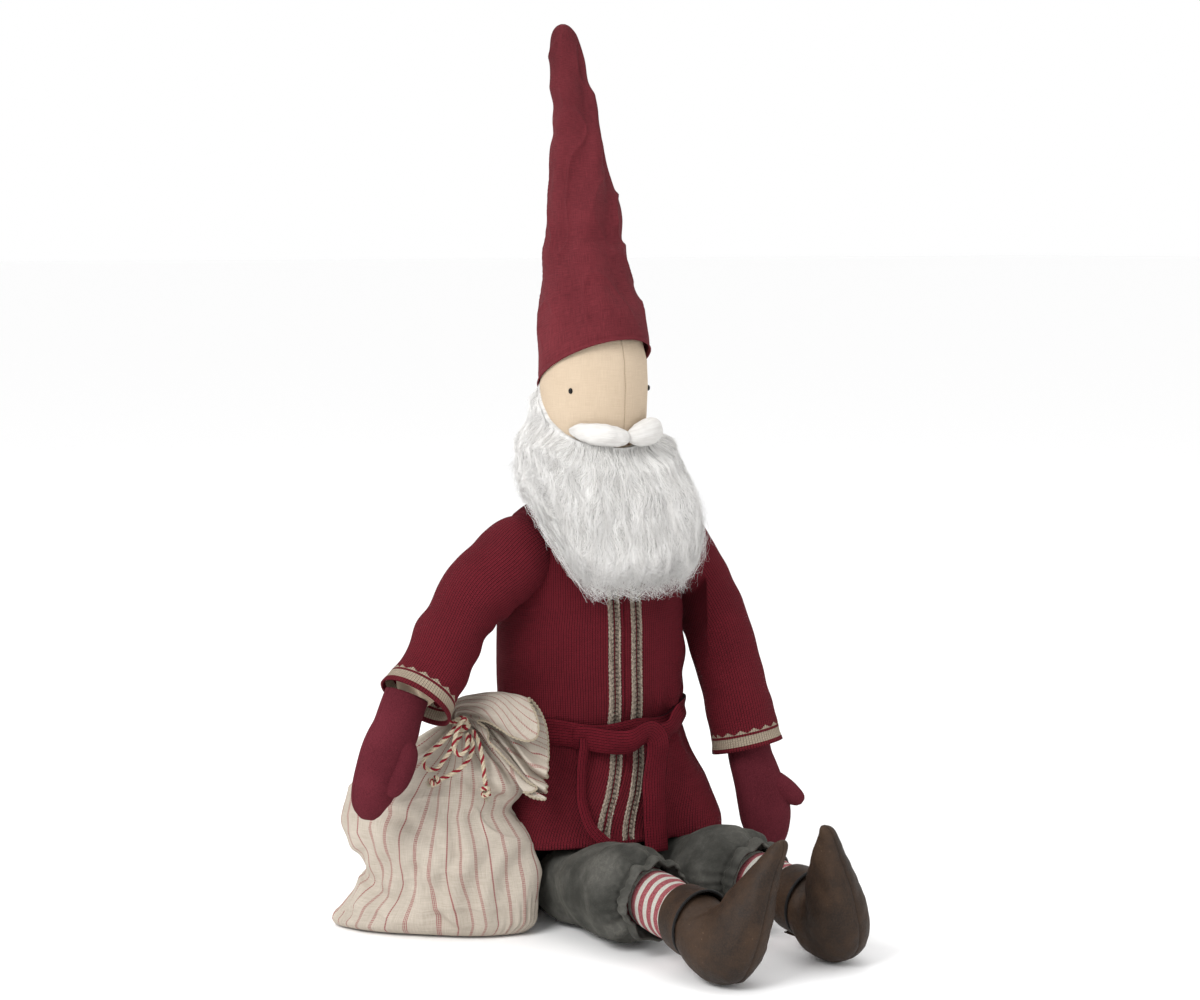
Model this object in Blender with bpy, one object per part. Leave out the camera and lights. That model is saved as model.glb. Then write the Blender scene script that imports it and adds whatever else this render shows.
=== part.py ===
"""Seated tomte gnome doll with a tied cloth sack, in metres, +Z up.

The doll faces -Y and its left side is at +X.  The origin is the middle of the seat's flat underside, on the floor.
Every place below is measured from the torso's upright axis, which stands AXIS_SHIFT in front of the origin.
Soft pieces are plain closed solids of the right size; skins that hold a filling are open shells.
"""
import math

import bmesh
import bpy
from mathutils import Vector

# Clearances and cloth walls
GAP = 0.0005
CLOTH = 0.0016
KNIT = 0.0026
AROUND = 20             # points around a lofted piece

# Torso and coat: (height, half width, half depth, middle y), the coat's outer face
COAT = [
    (0.036, 0.117, 0.083, 0.004),
    (0.084, 0.122, 0.086, -0.003),
    (0.125, 0.114, 0.078, -0.002),
    (0.160, 0.105, 0.068, 0.001),
    (0.185, 0.100, 0.063, 0.002),
    (0.215, 0.103, 0.065, 0.003),
    (0.285, 0.106, 0.065, 0.004),
    (0.310, 0.098, 0.063, 0.004),
    (0.350, 0.098, 0.059, 0.005),
    (0.380, 0.097, 0.052, 0.005),
    (0.394, 0.091, 0.046, 0.004),
    (0.402, 0.078, 0.042, 0.003),
    (0.407, 0.062, 0.038, 0.002),
    (0.410, 0.046, 0.036, 0.001),
]
COAT_FRONT_HEM = 0.084
COAT_BACK_HEM = 0.036
SIDE_SEAM = 88.0        # degrees from the front
TORSO_INSET = 0.0052    # coat's outer face to torso cloth

# Seat: the lowest part of the torso, inside the trousers
SEAT = (0.090, 0.030, 0.040)        # half width, half depth, middle y
AXIS_SHIFT = Vector((0.0, -SEAT[2], 0.0))
SEAT_TOP = 0.072

# Head: (height, half width, half depth)
HEAD = [
    (0.414, 0.025, 0.025),
    (0.428, 0.029, 0.029),
    (0.440, 0.041, 0.040),
    (0.460, 0.049, 0.047),
    (0.490, 0.0535, 0.0515),
    (0.520, 0.0550, 0.0530),
    (0.545, 0.0540, 0.0520),
    (0.565, 0.0485, 0.0470),
    (0.580, 0.0390, 0.0380),
    (0.590, 0.0260, 0.0250),
    (0.594, 0.0110, 0.0110),
]
EYE_HEIGHT = 0.517
EYE_ANGLE = 60.0        # degrees from the front, seen from above
EYE_RADIUS = 0.0026
MOUSTACHE_HEIGHT = 0.474
MOUTH_HEIGHT = 0.4600

# Hat: (distance up its axis, radius, middle y)
HAT_BASE = 0.538
HAT_TILT = 0.53         # fall of the brim per metre towards the back
HAT = [
    (0.000, 0.0570, 0.000),
    (0.030, 0.0540, 0.004),
    (0.070, 0.0475, 0.011),
    (0.115, 0.0420, 0.019),
    (0.165, 0.0360, 0.024),
    (0.200, 0.0300, 0.026),
    (0.240, 0.0240, 0.028),
    (0.290, 0.0190, 0.039),
    (0.325, 0.0155, 0.050),
    (0.340, 0.0105, 0.055),
    (0.347, 0.0040, 0.057),
]

# Beard: (height, half width, half depth, middle y) of its outer face
BEARD = [
    (0.332, 0.062, 0.030, -0.060),
    (0.345, 0.082, 0.043, -0.054),
    (0.365, 0.094, 0.052, -0.045),
    (0.390, 0.096, 0.056, -0.036),
    (0.415, 0.097, 0.062, -0.023),
    (0.440, 0.093, 0.066, -0.010),
    (0.480, 0.080, 0.066, 0.000),
    (0.500, 0.072, 0.066, 0.000),
    (0.520, 0.062, 0.062, 0.000),
]
BEARD_REACH = 100.0     # degrees each side of the front
NECK_SWING = 20.0       # degrees that the beard's back is cleared for

# Arms: centre line, radius across and radius along y, from the shoulder to the cuff
SLEEVE_RIGHT = [
    ((-0.0990, 0.000, 0.357), 0.046, 0.038),
    ((-0.1100, -0.001, 0.350), 0.045, 0.038),
    ((-0.1460, -0.006, 0.327), 0.037, 0.036),
    ((-0.1730, -0.013, 0.294), 0.032, 0.034),
    ((-0.1930, -0.020, 0.268), 0.031, 0.034),
    ((-0.2100, -0.025, 0.248), 0.034, 0.034),
    ((-0.2260, -0.029, 0.230), 0.037, 0.034),
]
SLEEVE_LEFT = [
    ((0.0990, 0.000, 0.357), 0.046, 0.038),
    ((0.1100, -0.003, 0.345), 0.044, 0.038),
    ((0.1280, -0.014, 0.310), 0.036, 0.036),
    ((0.1360, -0.028, 0.265), 0.033, 0.035),
    ((0.1400, -0.042, 0.225), 0.032, 0.034),
    ((0.1440, -0.053, 0.185), 0.034, 0.034),
    ((0.1480, -0.060, 0.152), 0.036, 0.034),
]
ARM_CLEAR_X = 0.1072    # nothing on an arm comes closer to the middle than this, past the armhole
ARM_RADIUS = 0.020
MITTEN_RIGHT = [
    ((-0.2395, -0.0305, 0.2155), 0.021, 0.017),
    ((-0.2450, -0.0300, 0.2070), 0.024, 0.018),
    ((-0.2560, -0.0270, 0.1850), 0.026, 0.019),
    ((-0.2640, -0.0230, 0.1600), 0.025, 0.018),
    ((-0.2690, -0.0200, 0.1400), 0.020, 0.015),
    ((-0.2710, -0.0185, 0.1270), 0.012, 0.010),
    ((-0.2715, -0.0180, 0.1210), 0.004, 0.004),
]
MITTEN_LEFT = [
    ((0.1500, -0.0640, 0.1400), 0.021, 0.018),
    ((0.1520, -0.0660, 0.1300), 0.024, 0.019),
    ((0.1570, -0.0710, 0.1050), 0.028, 0.020),
    ((0.1610, -0.0740, 0.0850), 0.029, 0.020),
    ((0.1610, -0.0760, 0.0650), 0.024, 0.017),
    ((0.1600, -0.0770, 0.0500), 0.015, 0.011),
    ((0.1595, -0.0775, 0.0440), 0.005, 0.005),
]

# Legs: distances forward of the torso's middle (towards -Y), for the right side x is negated
HIP = Vector((0.055, -0.030, 0.0365))
THIGH_RADIUS = 0.035
KNEE = Vector((0.061, -0.177, 0.054))
ANKLE = Vector((0.065, -0.250, 0.047))
SOCK_RADIUS = 0.0275
# (y, radius) of the trouser leg's outer face after the hip
TROUSER = [(-0.030, 0.0350), (-0.070, 0.0360), (-0.110, 0.0385), (-0.145, 0.0420), (-0.163, 0.0400),
           (-0.173, 0.0325), (-0.181, 0.0355)]
CUFF_START = -0.224
CUFF_RADIUS = 0.0322
# Shoe profile: (y, z) on the instep, (y, z) on the sole, half width
SHOE = [
    ((-0.2505, 0.076), (-0.2505, 0.019), 0.0290),
    ((-0.2620, 0.074), (-0.2620, 0.007), 0.0300),
    ((-0.2720, 0.072), (-0.2840, 0.0015), 0.0300),
    ((-0.2790, 0.075), (-0.3100, 0.004), 0.0300),
    ((-0.2850, 0.080), (-0.3280, 0.018), 0.0285),
    ((-0.2910, 0.088), (-0.3360, 0.040), 0.0255),
    ((-0.2980, 0.099), (-0.3370, 0.066), 0.0205),
    ((-0.3050, 0.111), (-0.3350, 0.092), 0.0155),
    ((-0.3130, 0.123), (-0.3340, 0.113), 0.0110),
    ((-0.3210, 0.134), (-0.3330, 0.129), 0.0065),
    ((-0.3265, 0.140), (-0.3310, 0.139), 0.0025),
]
TOE_LEAN = 0.041        # how far the toe's tip leans towards the other foot
TOE_TOP = 0.140

# Sack: (height, middle x, middle y, half length, half depth); it stands at 45 degrees to the doll
SACK = [
    (0.0000, -0.172, 0.022, 0.078, 0.034),
    (0.0070, -0.172, 0.022, 0.091, 0.046),
    (0.0250, -0.171, 0.021, 0.098, 0.051),
    (0.0600, -0.170, 0.020, 0.095, 0.053),
    (0.1000, -0.168, 0.018, 0.087, 0.049),
    (0.1350, -0.165, 0.014, 0.074, 0.042),
    (0.1600, -0.162, 0.008, 0.057, 0.034),
    (0.1820, -0.159, 0.003, 0.034, 0.024),
    (0.1960, -0.157, 0.000, 0.0145, 0.0140),
    (0.2040, -0.157, 0.000, 0.0120, 0.0120),
]
SACK_TURN = -45.0       # degrees, direction of the sack's long side
SACK_WALL = 0.0022
# Mouth of the sack above the tie: centre, half width, half thickness
SACK_MOUTH = [
    ((-0.1560, -0.0030, 0.2140), 0.0130, 0.0125),
    ((-0.1500, -0.0200, 0.2265), 0.0180, 0.0130),
    ((-0.1360, -0.0480, 0.2190), 0.0320, 0.0130),
    ((-0.1180, -0.0780, 0.1890), 0.0470, 0.0130),
]
SACK_NECK_BORE = 0.0040

# Drawcord: one twisted cord round the sack's neck, with two loops and two tails
CORD_DIAMETER = 0.0046
CORD_KNOT = Vector((-0.1707, -0.0246, 0.2030))
CORD_KNOT_RADIUS = 0.0075
LOOP_BIG = [
    (-0.1790, -0.0320, 0.2040), (-0.1850, -0.0360, 0.2090), (-0.1930, -0.0350, 0.2030), (-0.2000, -0.0300, 0.1920),
    (-0.2080, -0.0240, 0.1810), (-0.2120, -0.0210, 0.1710), (-0.2080, -0.0230, 0.1640), (-0.2010, -0.0280, 0.1650),
    (-0.1950, -0.0340, 0.1760), (-0.1880, -0.0390, 0.1880), (-0.1795, -0.0365, 0.1965),
]
LOOP_SMALL = [
    (-0.1740, -0.0350, 0.2070), (-0.1800, -0.0430, 0.2120), (-0.1870, -0.0455, 0.2070), (-0.1915, -0.0450, 0.1960),
    (-0.1920, -0.0440, 0.1850), (-0.1870, -0.0465, 0.1790), (-0.1800, -0.0480, 0.1860), (-0.1735, -0.0375, 0.1965),
]
TAIL_LEFT = [
    (-0.1700, -0.0345, 0.1945), (-0.1700, -0.0420, 0.1860), (-0.1740, -0.0430, 0.1750), (-0.1820, -0.0400, 0.1650),
    (-0.1920, -0.0360, 0.1590), (-0.2000, -0.0320, 0.1550),
]
TAIL_RIGHT = [
    (-0.1640, -0.0325, 0.1975), (-0.1625, -0.0400, 0.1885), (-0.1620, -0.0455, 0.1760), (-0.1620, -0.0490, 0.1620),
    (-0.1620, -0.0515, 0.1480),
]
END_KNOT_RADIUS = 0.0050

# Front bands, belt and its tails
BAND_MIDDLE = 0.0130    # from the opening to a band's middle
BAND_WIDTH = 0.0150
BAND_THICK = 0.0024
BAND_SWING = 0.012      # how far the opening swings to the doll's right at the hem
BELT_LOW = 0.172
BELT_HIGH = 0.198
BELT_THICK = 0.0030
KNOT_SIZE = (0.036, 0.014, 0.024)
# Tails: centre line points on the coat's front
TAIL_WIDE = [(0.009, -0.0790, 0.1695), (0.008, -0.0860, 0.140), (0.007, -0.0925, 0.110), (0.006, -0.0955, 0.085),
             (0.005, -0.0970, 0.068)]
TAIL_THIN = [(-0.034, -0.0690, 0.1695), (-0.037, -0.0790, 0.140), (-0.038, -0.0870, 0.115), (-0.036, -0.0920, 0.095),
             (-0.030, -0.0945, 0.082)]


def clear_scene():
    for item in list(bpy.data.objects):
        bpy.data.objects.remove(item, do_unlink=True)


def material(name, colour, roughness, metallic=0.0):
    made = bpy.data.materials.new(name)
    made.use_nodes = True
    shader = made.node_tree.nodes["Principled BSDF"]
    shader.inputs["Base Color"].default_value = (*colour, 1.0)
    shader.inputs["Roughness"].default_value = roughness
    shader.inputs["Metallic"].default_value = metallic
    return made


def cap(shape, row, strip):
    """Close an end: one face, or a strip across a row that runs out along one face and back along the other."""
    if not strip:
        shape.faces.new(row)
        return
    last = len(row) - 1
    for index in range(len(row) // 2 - 1):
        shape.faces.new((row[index], row[index + 1], row[last - index - 1], row[last - index]))


def build(name, rings, finish, parent, loop=False, strip=False):
    """Join rings of equal length into one closed body; a loop joins the last ring back to the first."""
    shape = bmesh.new()
    rows = [[shape.verts.new(point) for point in ring] for ring in rings]
    pairs = list(zip(rows, rows[1:]))
    if loop:
        pairs.append((rows[-1], rows[0]))
    for low, high in pairs:
        count = len(low)
        for index in range(count):
            after = (index + 1) % count
            shape.faces.new((low[index], low[after], high[after], high[index]))
    if not loop:
        cap(shape, rows[0], strip)
        cap(shape, rows[-1], strip)
    bmesh.ops.recalc_face_normals(shape, faces=shape.faces)
    if shape.calc_volume(signed=True) < 0:
        bmesh.ops.reverse_faces(shape, faces=shape.faces)
    bmesh.ops.translate(shape, verts=shape.verts, vec=-axis_place(parent))
    mesh = bpy.data.meshes.new(name)
    shape.to_mesh(mesh)
    shape.free()
    mesh.shade_smooth()
    mesh.set_sharp_from_angle(angle=math.radians(50))
    item = bpy.data.objects.new(name, mesh)
    bpy.context.collection.objects.link(item)
    mesh.materials.append(finish)
    item.parent = parent


def between(stations, height):
    """The measures of a profile at any height, by straight lines between its stations."""
    if height <= stations[0][0]:
        return stations[0][1:]
    for low, high in zip(stations, stations[1:]):
        if height <= high[0]:
            share = (height - low[0]) / (high[0] - low[0])
            return tuple(a + share * (b - a) for a, b in zip(low[1:], high[1:]))
    return stations[-1][1:]


def smooth(value, low, high):
    """0 at low and beyond, 1 at high and beyond; low may be the larger of the two."""
    share = min(max((value - low) / (high - low), 0.0), 1.0)
    return share * share * (3 - 2 * share)


def oval(centre, wide, deep, across=Vector((1, 0, 0)), along=Vector((0, 1, 0)), power=2.0, count=AROUND):
    """Points round a rounded section; a power above 2 squares it."""
    points = []
    for index in range(count):
        angle = 2 * math.pi * index / count
        cos, sin = math.cos(angle), math.sin(angle)
        x = math.copysign(abs(cos) ** (2 / power), cos)
        y = math.copysign(abs(sin) ** (2 / power), sin)
        points.append(Vector(centre) + across * (wide * x) + along * (deep * y))
    return points


def path_rings(stations, side, count=AROUND, inset=0.0):
    """Rings square to a centre line of (point, radius across, radius along side)."""
    rings = []
    points = [Vector(station[0]) for station in stations]
    for index, (_, across, along) in enumerate(stations):
        before = points[max(index - 1, 0)]
        after = points[min(index + 1, len(points) - 1)]
        forward = (after - before).normalized()
        deep = (side - forward * side.dot(forward)).normalized()
        wide = deep.cross(forward)
        rings.append(oval(points[index], across - inset, along - inset, wide, deep, count=count))
    return rings


def coat_point(angle, height, inset=0.0):
    """A point of the coat's face; the angle is in degrees from the front, towards the doll's left."""
    turn = math.radians(angle)

    def outer(turn_value, height_value):
        wide, deep, middle = between(COAT, height_value)
        return Vector((wide * math.sin(turn_value), middle - deep * math.cos(turn_value), height_value))

    here = outer(turn, height)
    if inset == 0.0:
        return here
    step = 0.002
    up = outer(turn, min(height + step, COAT[-1][0])) - outer(turn, max(height - step, COAT[0][0]))
    sideways = outer(turn + 0.02, height) - outer(turn - 0.02, height)
    return here - sideways.cross(up).normalized() * inset


def hem_height(angle):
    """The coat's hem rests on the thighs in front and hangs lower at the sides and back."""
    share = smooth(abs(angle), 50.0, 88.0)
    return COAT_FRONT_HEM + (COAT_BACK_HEM - COAT_FRONT_HEM) * share


def coat_panel(name, start, end, columns, finish, parent):
    hem_rows = [0.0, 0.2, 0.4, 0.6, 0.8]
    upper = [station[0] for station in COAT[3:]]
    angles = [start + (end - start) * index / columns for index in range(columns + 1)]
    rings = []
    for share in hem_rows:
        heights = [hem_height(a if a <= 180 else a - 360) * (1 - share) + COAT[3][0] * share for a in angles]
        outer = [coat_point(a, h) for a, h in zip(angles, heights)]
        inner = [coat_point(a, h, KNIT) for a, h in zip(angles, heights)]
        rings.append(outer + inner[::-1])
    for height in upper:
        outer = [coat_point(a, height) for a in angles]
        inner = [coat_point(a, height, KNIT) for a in angles]
        rings.append(outer + inner[::-1])
    return build(name, rings, finish, parent, strip=True)


def make_torso(doll, cloth, filling_finish, pellet_finish, trouser):
    """Sewn torso cloth, open at the neck, with its filling and a bag of pellets low in the seat."""
    wide, deep, middle = SEAT
    seat_gap = CLOTH + GAP
    low = [(0.005, 0.78), (0.012, 0.93), (0.030, 1.0), (SEAT_TOP, 1.0)]
    upper = [(0.088, 0.050, 0.012), (0.104, 0.066, 0.003)]
    neck = [(0.4025, 0.0330, 0.001), (0.4045, 0.0300, 0.0)]

    def rings(inset, lift, top):
        made = []
        for height, share in low:
            size = (wide - seat_gap) * share - inset
            depth = (deep - seat_gap) * share - inset
            made.append(oval((0, middle, height + lift), size, depth, power=2.6))
        for height, depth, centre in upper:
            made.append(oval((0, centre, height + lift), 0.098 - inset, depth - inset, power=2.3))
        for height, size, depth, centre in COAT[2:-3]:
            if height < 0.394:
                drop = TORSO_INSET + inset
                made.append(oval((0, centre, height), size - drop, depth - drop))
        shoulder = [(0.3930, 0.0800, 0.0370), (0.4000, 0.0600, 0.0340)]
        for height, size, depth in shoulder:
            made.append(oval((0, 0.003, height - inset), size - inset, depth - inset))
        if top:
            for height, radius, centre in neck:
                made.append(oval((0, centre, height - inset * 0.4), radius - inset, radius - inset))
        return made

    outer = rings(0.0, 0.0, True)
    inner = rings(CLOTH, CLOTH, True)
    build("torso_cloth", outer + inner[::-1], cloth, doll)

    filling = rings(CLOTH + 3 * GAP, CLOTH + 3 * GAP, False)
    build("torso_filling", filling[4:-1], filling_finish, doll)
    pellets = []
    for height, share in [(0.0085, 0.72), (0.016, 0.88), (0.034, 0.97), (0.058, 0.97), (0.068, 0.90)]:
        pellets.append(oval((0, middle, height), (wide - 0.0055) * share, (deep - 0.0055) * share, power=2.6))
    build("pellet_bag", pellets, pellet_finish, doll)

    outer = []
    for height, share in [(0.0, 0.84), (0.004, 0.95), (0.014, 1.0), (0.040, 1.0), (SEAT_TOP, 1.0)]:
        outer.append(oval((0, middle, height), wide * share, deep * share, power=2.6))
    inner = []
    for height, share in [(0.0030, 0.82), (0.010, 0.95), (0.026, 1.0), (SEAT_TOP, 1.0)]:
        size = (wide - CLOTH) * share
        depth = (deep - CLOTH) * share
        inner.append(oval((0, middle, height), size, depth, power=2.6))
    build("trouser_seat", outer + inner[::-1], trouser, doll)


def make_coat(doll, knit, band, belt):
    coat_panel("coat_front_right", -SIDE_SEAM, -0.25, 8, knit, doll)
    coat_panel("coat_front_left", 0.25, SIDE_SEAM, 8, knit, doll)
    coat_panel("coat_back", SIDE_SEAM + 0.4, 360 - SIDE_SEAM - 0.4, 12, knit, doll)

    heights = [COAT_FRONT_HEM + 0.002, 0.104, 0.125, 0.145, 0.160, 0.185, 0.215, 0.250, 0.285, 0.310, 0.350, 0.380]
    for side, name in ((-1, "front_band_right"), (1, "front_band_left")):
        rings = []
        for height in heights:
            swing = BAND_SWING * (1 - smooth(height, COAT_FRONT_HEM, 0.170))
            ring = []
            for edge, out in ((-1, 0), (1, 0), (1, 1), (-1, 1)):
                x = side * BAND_MIDDLE - swing + edge * BAND_WIDTH / 2
                wide, deep, middle = between(COAT, height)
                y = middle - deep * math.sqrt(1 - (x / wide) ** 2)
                ring.append(Vector((x, y - GAP - out * BAND_THICK, height)))
            rings.append(ring)
        build(name, rings, band, doll)

    section = []
    widest = max(between(COAT, height)[0] for height in (BELT_LOW, BELT_HIGH))
    deepest = max(between(COAT, height)[1] for height in (BELT_LOW, BELT_HIGH))
    for index in range(40):
        turn = 2 * math.pi * index / 40
        front = smooth(math.cos(turn), 0.75, 0.92)
        lift = GAP + front * (BAND_THICK + 0.0016)
        ring = []
        for height, out in ((BELT_LOW, 0), (BELT_LOW, 1), (BELT_HIGH, 1), (BELT_HIGH, 0)):
            reach = lift + out * BELT_THICK
            x = (widest + reach) * math.sin(turn)
            y = 0.001 - (deepest + 0.0006 + reach) * math.cos(turn)
            ring.append(Vector((x, y, height)))
        section.append(ring)
    build("belt_band", section, belt, doll, loop=True)

    wide, deep, tall = KNOT_SIZE
    belt_front = between(COAT, BELT_LOW)[1] + BAND_THICK + BELT_THICK + 0.0042
    knot = []
    for share, size in [(0.0, 0.80), (0.2, 1.0), (0.8, 1.0), (1.0, 0.72)]:
        y = -belt_front - share * deep
        knot.append(oval((0.006, y, (BELT_LOW + BELT_HIGH) / 2 + 0.001), wide / 2 * size, tall / 2 * size,
                         along=Vector((0, 0, 1)), power=3.5, count=16))
    build("belt_knot", knot, belt, doll)
    for name, points, width in (("belt_tail_wide", TAIL_WIDE, 0.027), ("belt_tail_thin", TAIL_THIN, 0.012)):
        rings = []
        for x, y, z in points:
            ring = []
            for edge, out in ((-1, 0), (1, 0), (1, 1), (-1, 1)):
                ring.append(Vector((x + edge * width / 2, y - out * BELT_THICK, z)))
            rings.append(ring)
        build(name, rings, belt, doll)


def head_radius(height, angle):
    wide, deep = between(HEAD, height)
    turn = math.radians(angle)
    return 1 / math.sqrt((math.sin(turn) / wide) ** 2 + (math.cos(turn) / deep) ** 2)


def on_head(angle, height, out=0.0):
    reach = head_radius(height, angle) + out
    turn = math.radians(angle)
    return Vector((reach * math.sin(turn), -reach * math.cos(turn), height))


def make_head(neck, cloth, filling, eye, thread, wool):
    """Head cloth, open at the neck, its filling, eyes, mouth stitch, moustache and beard."""
    outer = [oval((0, 0, z), a, b) for z, a, b in HEAD]

    def inside(z, inset):
        """Height of an inner ring: lifted under the cheeks, lowered under the crown."""
        return z + inset * (smooth(z, 0.460, 0.420) - smooth(z, 0.520, 0.560))

    inner = [oval((0, 0, inside(z, CLOTH)), a - CLOTH, b - CLOTH) for z, a, b in HEAD]
    inner[0] = oval((0, 0, HEAD[0][0]), HEAD[0][1] - CLOTH, HEAD[0][2] - CLOTH)
    build("head_cloth", outer[::-1] + inner, cloth, neck)
    inset = CLOTH + 3 * GAP
    rings = [oval((0, 0, 0.394), 0.022, 0.022), oval((0, 0, HEAD[0][0]), 0.0228, 0.0228)]
    rings += [oval((0, 0, inside(z, inset)), a - inset, b - inset) for z, a, b in HEAD[1:]]
    build("head_filling", rings, filling, neck)

    for side, name in ((-1, "eye_right"), (1, "eye_left")):
        normal = on_head(side * EYE_ANGLE, EYE_HEIGHT).normalized()
        normal = Vector((normal.x, normal.y, 0)).normalized()
        across = Vector((0, 0, 1)).cross(normal)
        start = on_head(side * EYE_ANGLE, EYE_HEIGHT, 0.0006)
        rings = []
        for lift, size in [(0.0, 0.75), (0.0006, 1.0), (0.0013, 0.85), (0.0018, 0.4)]:
            rings.append(oval(start + normal * lift, EYE_RADIUS * size * 0.85, EYE_RADIUS * size,
                              across, Vector((0, 0, 1)), count=12))
        build(name, rings, eye, neck)

    rings = []
    for index in range(5):
        angle = -8 + 4 * index
        rings.append(oval(on_head(angle, MOUTH_HEIGHT, 0.0016), 0.0008, 0.0008,
                          on_head(angle, MOUTH_HEIGHT).normalized(), Vector((0, 0, 1)), count=8))
    build("mouth_stitch", rings, thread, neck)

    lobe = [(1.5, 0.0045), (7, 0.0085), (16, 0.0105), (28, 0.0108), (40, 0.0090), (51, 0.0060), (59, 0.0022)]
    for side, name in ((-1, "moustache_right"), (1, "moustache_left")):
        rings = []
        for angle, radius in lobe:
            height = MOUSTACHE_HEIGHT + 0.004 * (angle / 60) ** 2
            base = max(head_radius(height + radius, angle), head_radius(height, angle))
            outward = on_head(side * angle, height).normalized()
            outward = Vector((outward.x, outward.y, 0)).normalized()
            thick = radius * 0.8
            centre = outward * (base + thick + 0.0012)
            centre.z = height
            rings.append(oval(centre, thick, radius, outward, Vector((0, 0, 1)), count=16))
        build(name, rings, wool, neck)

    columns = 20
    rows = [0.0, 0.07, 0.18, 0.34, 0.52, 0.70, 0.86, 1.0]
    rings = []
    for share in rows:
        outer_row, inner_row = [], []
        for index in range(columns + 1):
            angle = -BEARD_REACH + 2 * BEARD_REACH * index / columns
            outer_point, inner_point = beard_points(angle, share)
            outer_row.append(outer_point)
            inner_row.append(inner_point)
        rings.append(outer_row + inner_row[::-1])
    build("beard", rings, wool, neck, strip=True)


def beard_points(angle, share):
    """Outer and inner point of the beard; share runs from its lower edge, 0, to its upper edge, 1."""
    bottom = BEARD[0][0] + (0.4145 - BEARD[0][0]) * smooth(abs(angle), 34.0, 72.0)
    top = 0.4560 + 0.060 * smooth(abs(angle), 52.0, 80.0)
    height = bottom + (top - bottom) * share
    turn = math.radians(angle)
    wide, deep, middle = between(BEARD, height)
    sin, cos = math.sin(turn), math.cos(turn)
    # reach of the ray from the neck's axis to the outer oval
    a = (sin / wide) ** 2 + (cos / deep) ** 2
    b = cos * middle / deep ** 2
    c = (middle / deep) ** 2 - 1
    reach = (-b + math.sqrt(max(b * b - a * c, 0.0))) / a
    swept = math.radians(min(abs(angle) + NECK_SWING + 2, 90.0))
    chest_wide, chest_deep, chest_middle = between(COAT, max(height, 0.330))
    chest_deep = chest_deep - chest_middle + BAND_THICK + 0.0035
    chest_wide = chest_wide + 0.0015
    chest = 1 / math.sqrt((math.sin(swept) / chest_wide) ** 2 + (math.cos(swept) / chest_deep) ** 2)
    skull = head_radius(height, angle) + 0.0040
    inside = chest + (skull - chest) * smooth(height, 0.405, 0.448)
    if abs(angle) > 70:
        inside = min(inside, reach - 0.004)
    inside = min(inside, reach - 0.003)
    inside = max(inside, skull)
    reach = max(reach, inside + 0.003)
    outer = Vector((reach * sin, -reach * cos, height))
    inner = Vector((inside * sin, -inside * cos, height))
    return outer, inner


def make_hat(parent, linen, filling):
    def rings(inset, stations, base_drop=0.0):
        made = []
        top = stations[-1][0]
        for distance, radius, middle in stations:
            level = max(0.0, 1 - distance / 0.115)
            ring = []
            for index in range(AROUND):
                turn = 2 * math.pi * index / AROUND
                x = (radius - inset) * math.cos(turn)
                y = (radius - inset) * math.sin(turn)
                fall = HAT_TILT * level * y
                z = HAT_BASE + distance - fall - base_drop * (distance / top)
                ring.append(Vector((x, middle + y, z)))
            made.append(ring)
        return made

    outer = rings(0.0, HAT)
    inner = rings(CLOTH, HAT, CLOTH * 1.5)
    build("hat", outer[::-1] + inner, linen, parent)
    stuffed = rings(CLOTH + GAP, HAT[2:], CLOTH * 2 + GAP * 2)
    build("hat_filling", stuffed, filling, parent)


def clear_of_body(rings, first=1):
    """Press the inner side of an arm's pieces flat, so that they pass the coat as the arm swings."""
    for ring in rings[first:]:
        for point in ring:
            if abs(point.x) < ARM_CLEAR_X:
                point.x = math.copysign(ARM_CLEAR_X, point.x)
    return rings


def make_arm(side, parent, sleeve, mitten, knit, cloth, felt):
    outer = clear_of_body(path_rings(sleeve, Vector((0, 1, 0))))
    first = Vector(sleeve[0][0])
    for point in outer[0]:
        point.x = first.x
    inner = path_rings(sleeve, Vector((0, 1, 0)), inset=KNIT)
    for point in inner[0]:
        point.x = first.x
    for ring in inner[1:]:
        for point in ring:
            if abs(point.x) < ARM_CLEAR_X + KNIT:
                point.x = math.copysign(ARM_CLEAR_X + KNIT, point.x)
    build("sleeve_" + side, outer + inner[::-1], knit, parent, loop=True)

    wrist = Vector(mitten[0][0])
    stations = [(point, ARM_RADIUS, ARM_RADIUS * 0.9) for point, _, _ in sleeve[1:]]
    stations[0] = (stations[0][0], ARM_RADIUS * 0.8, ARM_RADIUS * 0.8)
    forward = (Vector(mitten[1][0]) - wrist).normalized()
    stations.append((wrist - forward * 0.0080, ARM_RADIUS * 0.92, ARM_RADIUS * 0.80))
    stations.append((wrist - forward * 0.0012, ARM_RADIUS * 0.92, ARM_RADIUS * 0.80))
    rings = path_rings(stations, Vector((0, 1, 0)), count=16)
    for ring in rings[:3]:
        for point in ring:
            if abs(point.x) < ARM_CLEAR_X + KNIT + GAP:
                point.x = math.copysign(ARM_CLEAR_X + KNIT + GAP, point.x)
    build("arm_" + side, rings, cloth, parent)
    build("mitten_" + side, path_rings(mitten, Vector((0, 1, 0))), felt, parent)


def leg_centre(y, side):
    """The leg's centre line: up a little to the knee, then level to the ankle."""
    if y > KNEE.y:
        share = (y - HIP.y) / (KNEE.y - HIP.y)
        point = HIP.lerp(KNEE, max(share, 0.0))
    else:
        share = (y - KNEE.y) / (ANKLE.y - KNEE.y)
        point = KNEE.lerp(ANKLE, min(share, 1.0))
    return Vector((side * point.x, y, point.z))


def leg_ring(y, radius, side, count=AROUND):
    return oval(leg_centre(y, side), radius, radius, along=Vector((0, 0, 1)), count=count)


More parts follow.
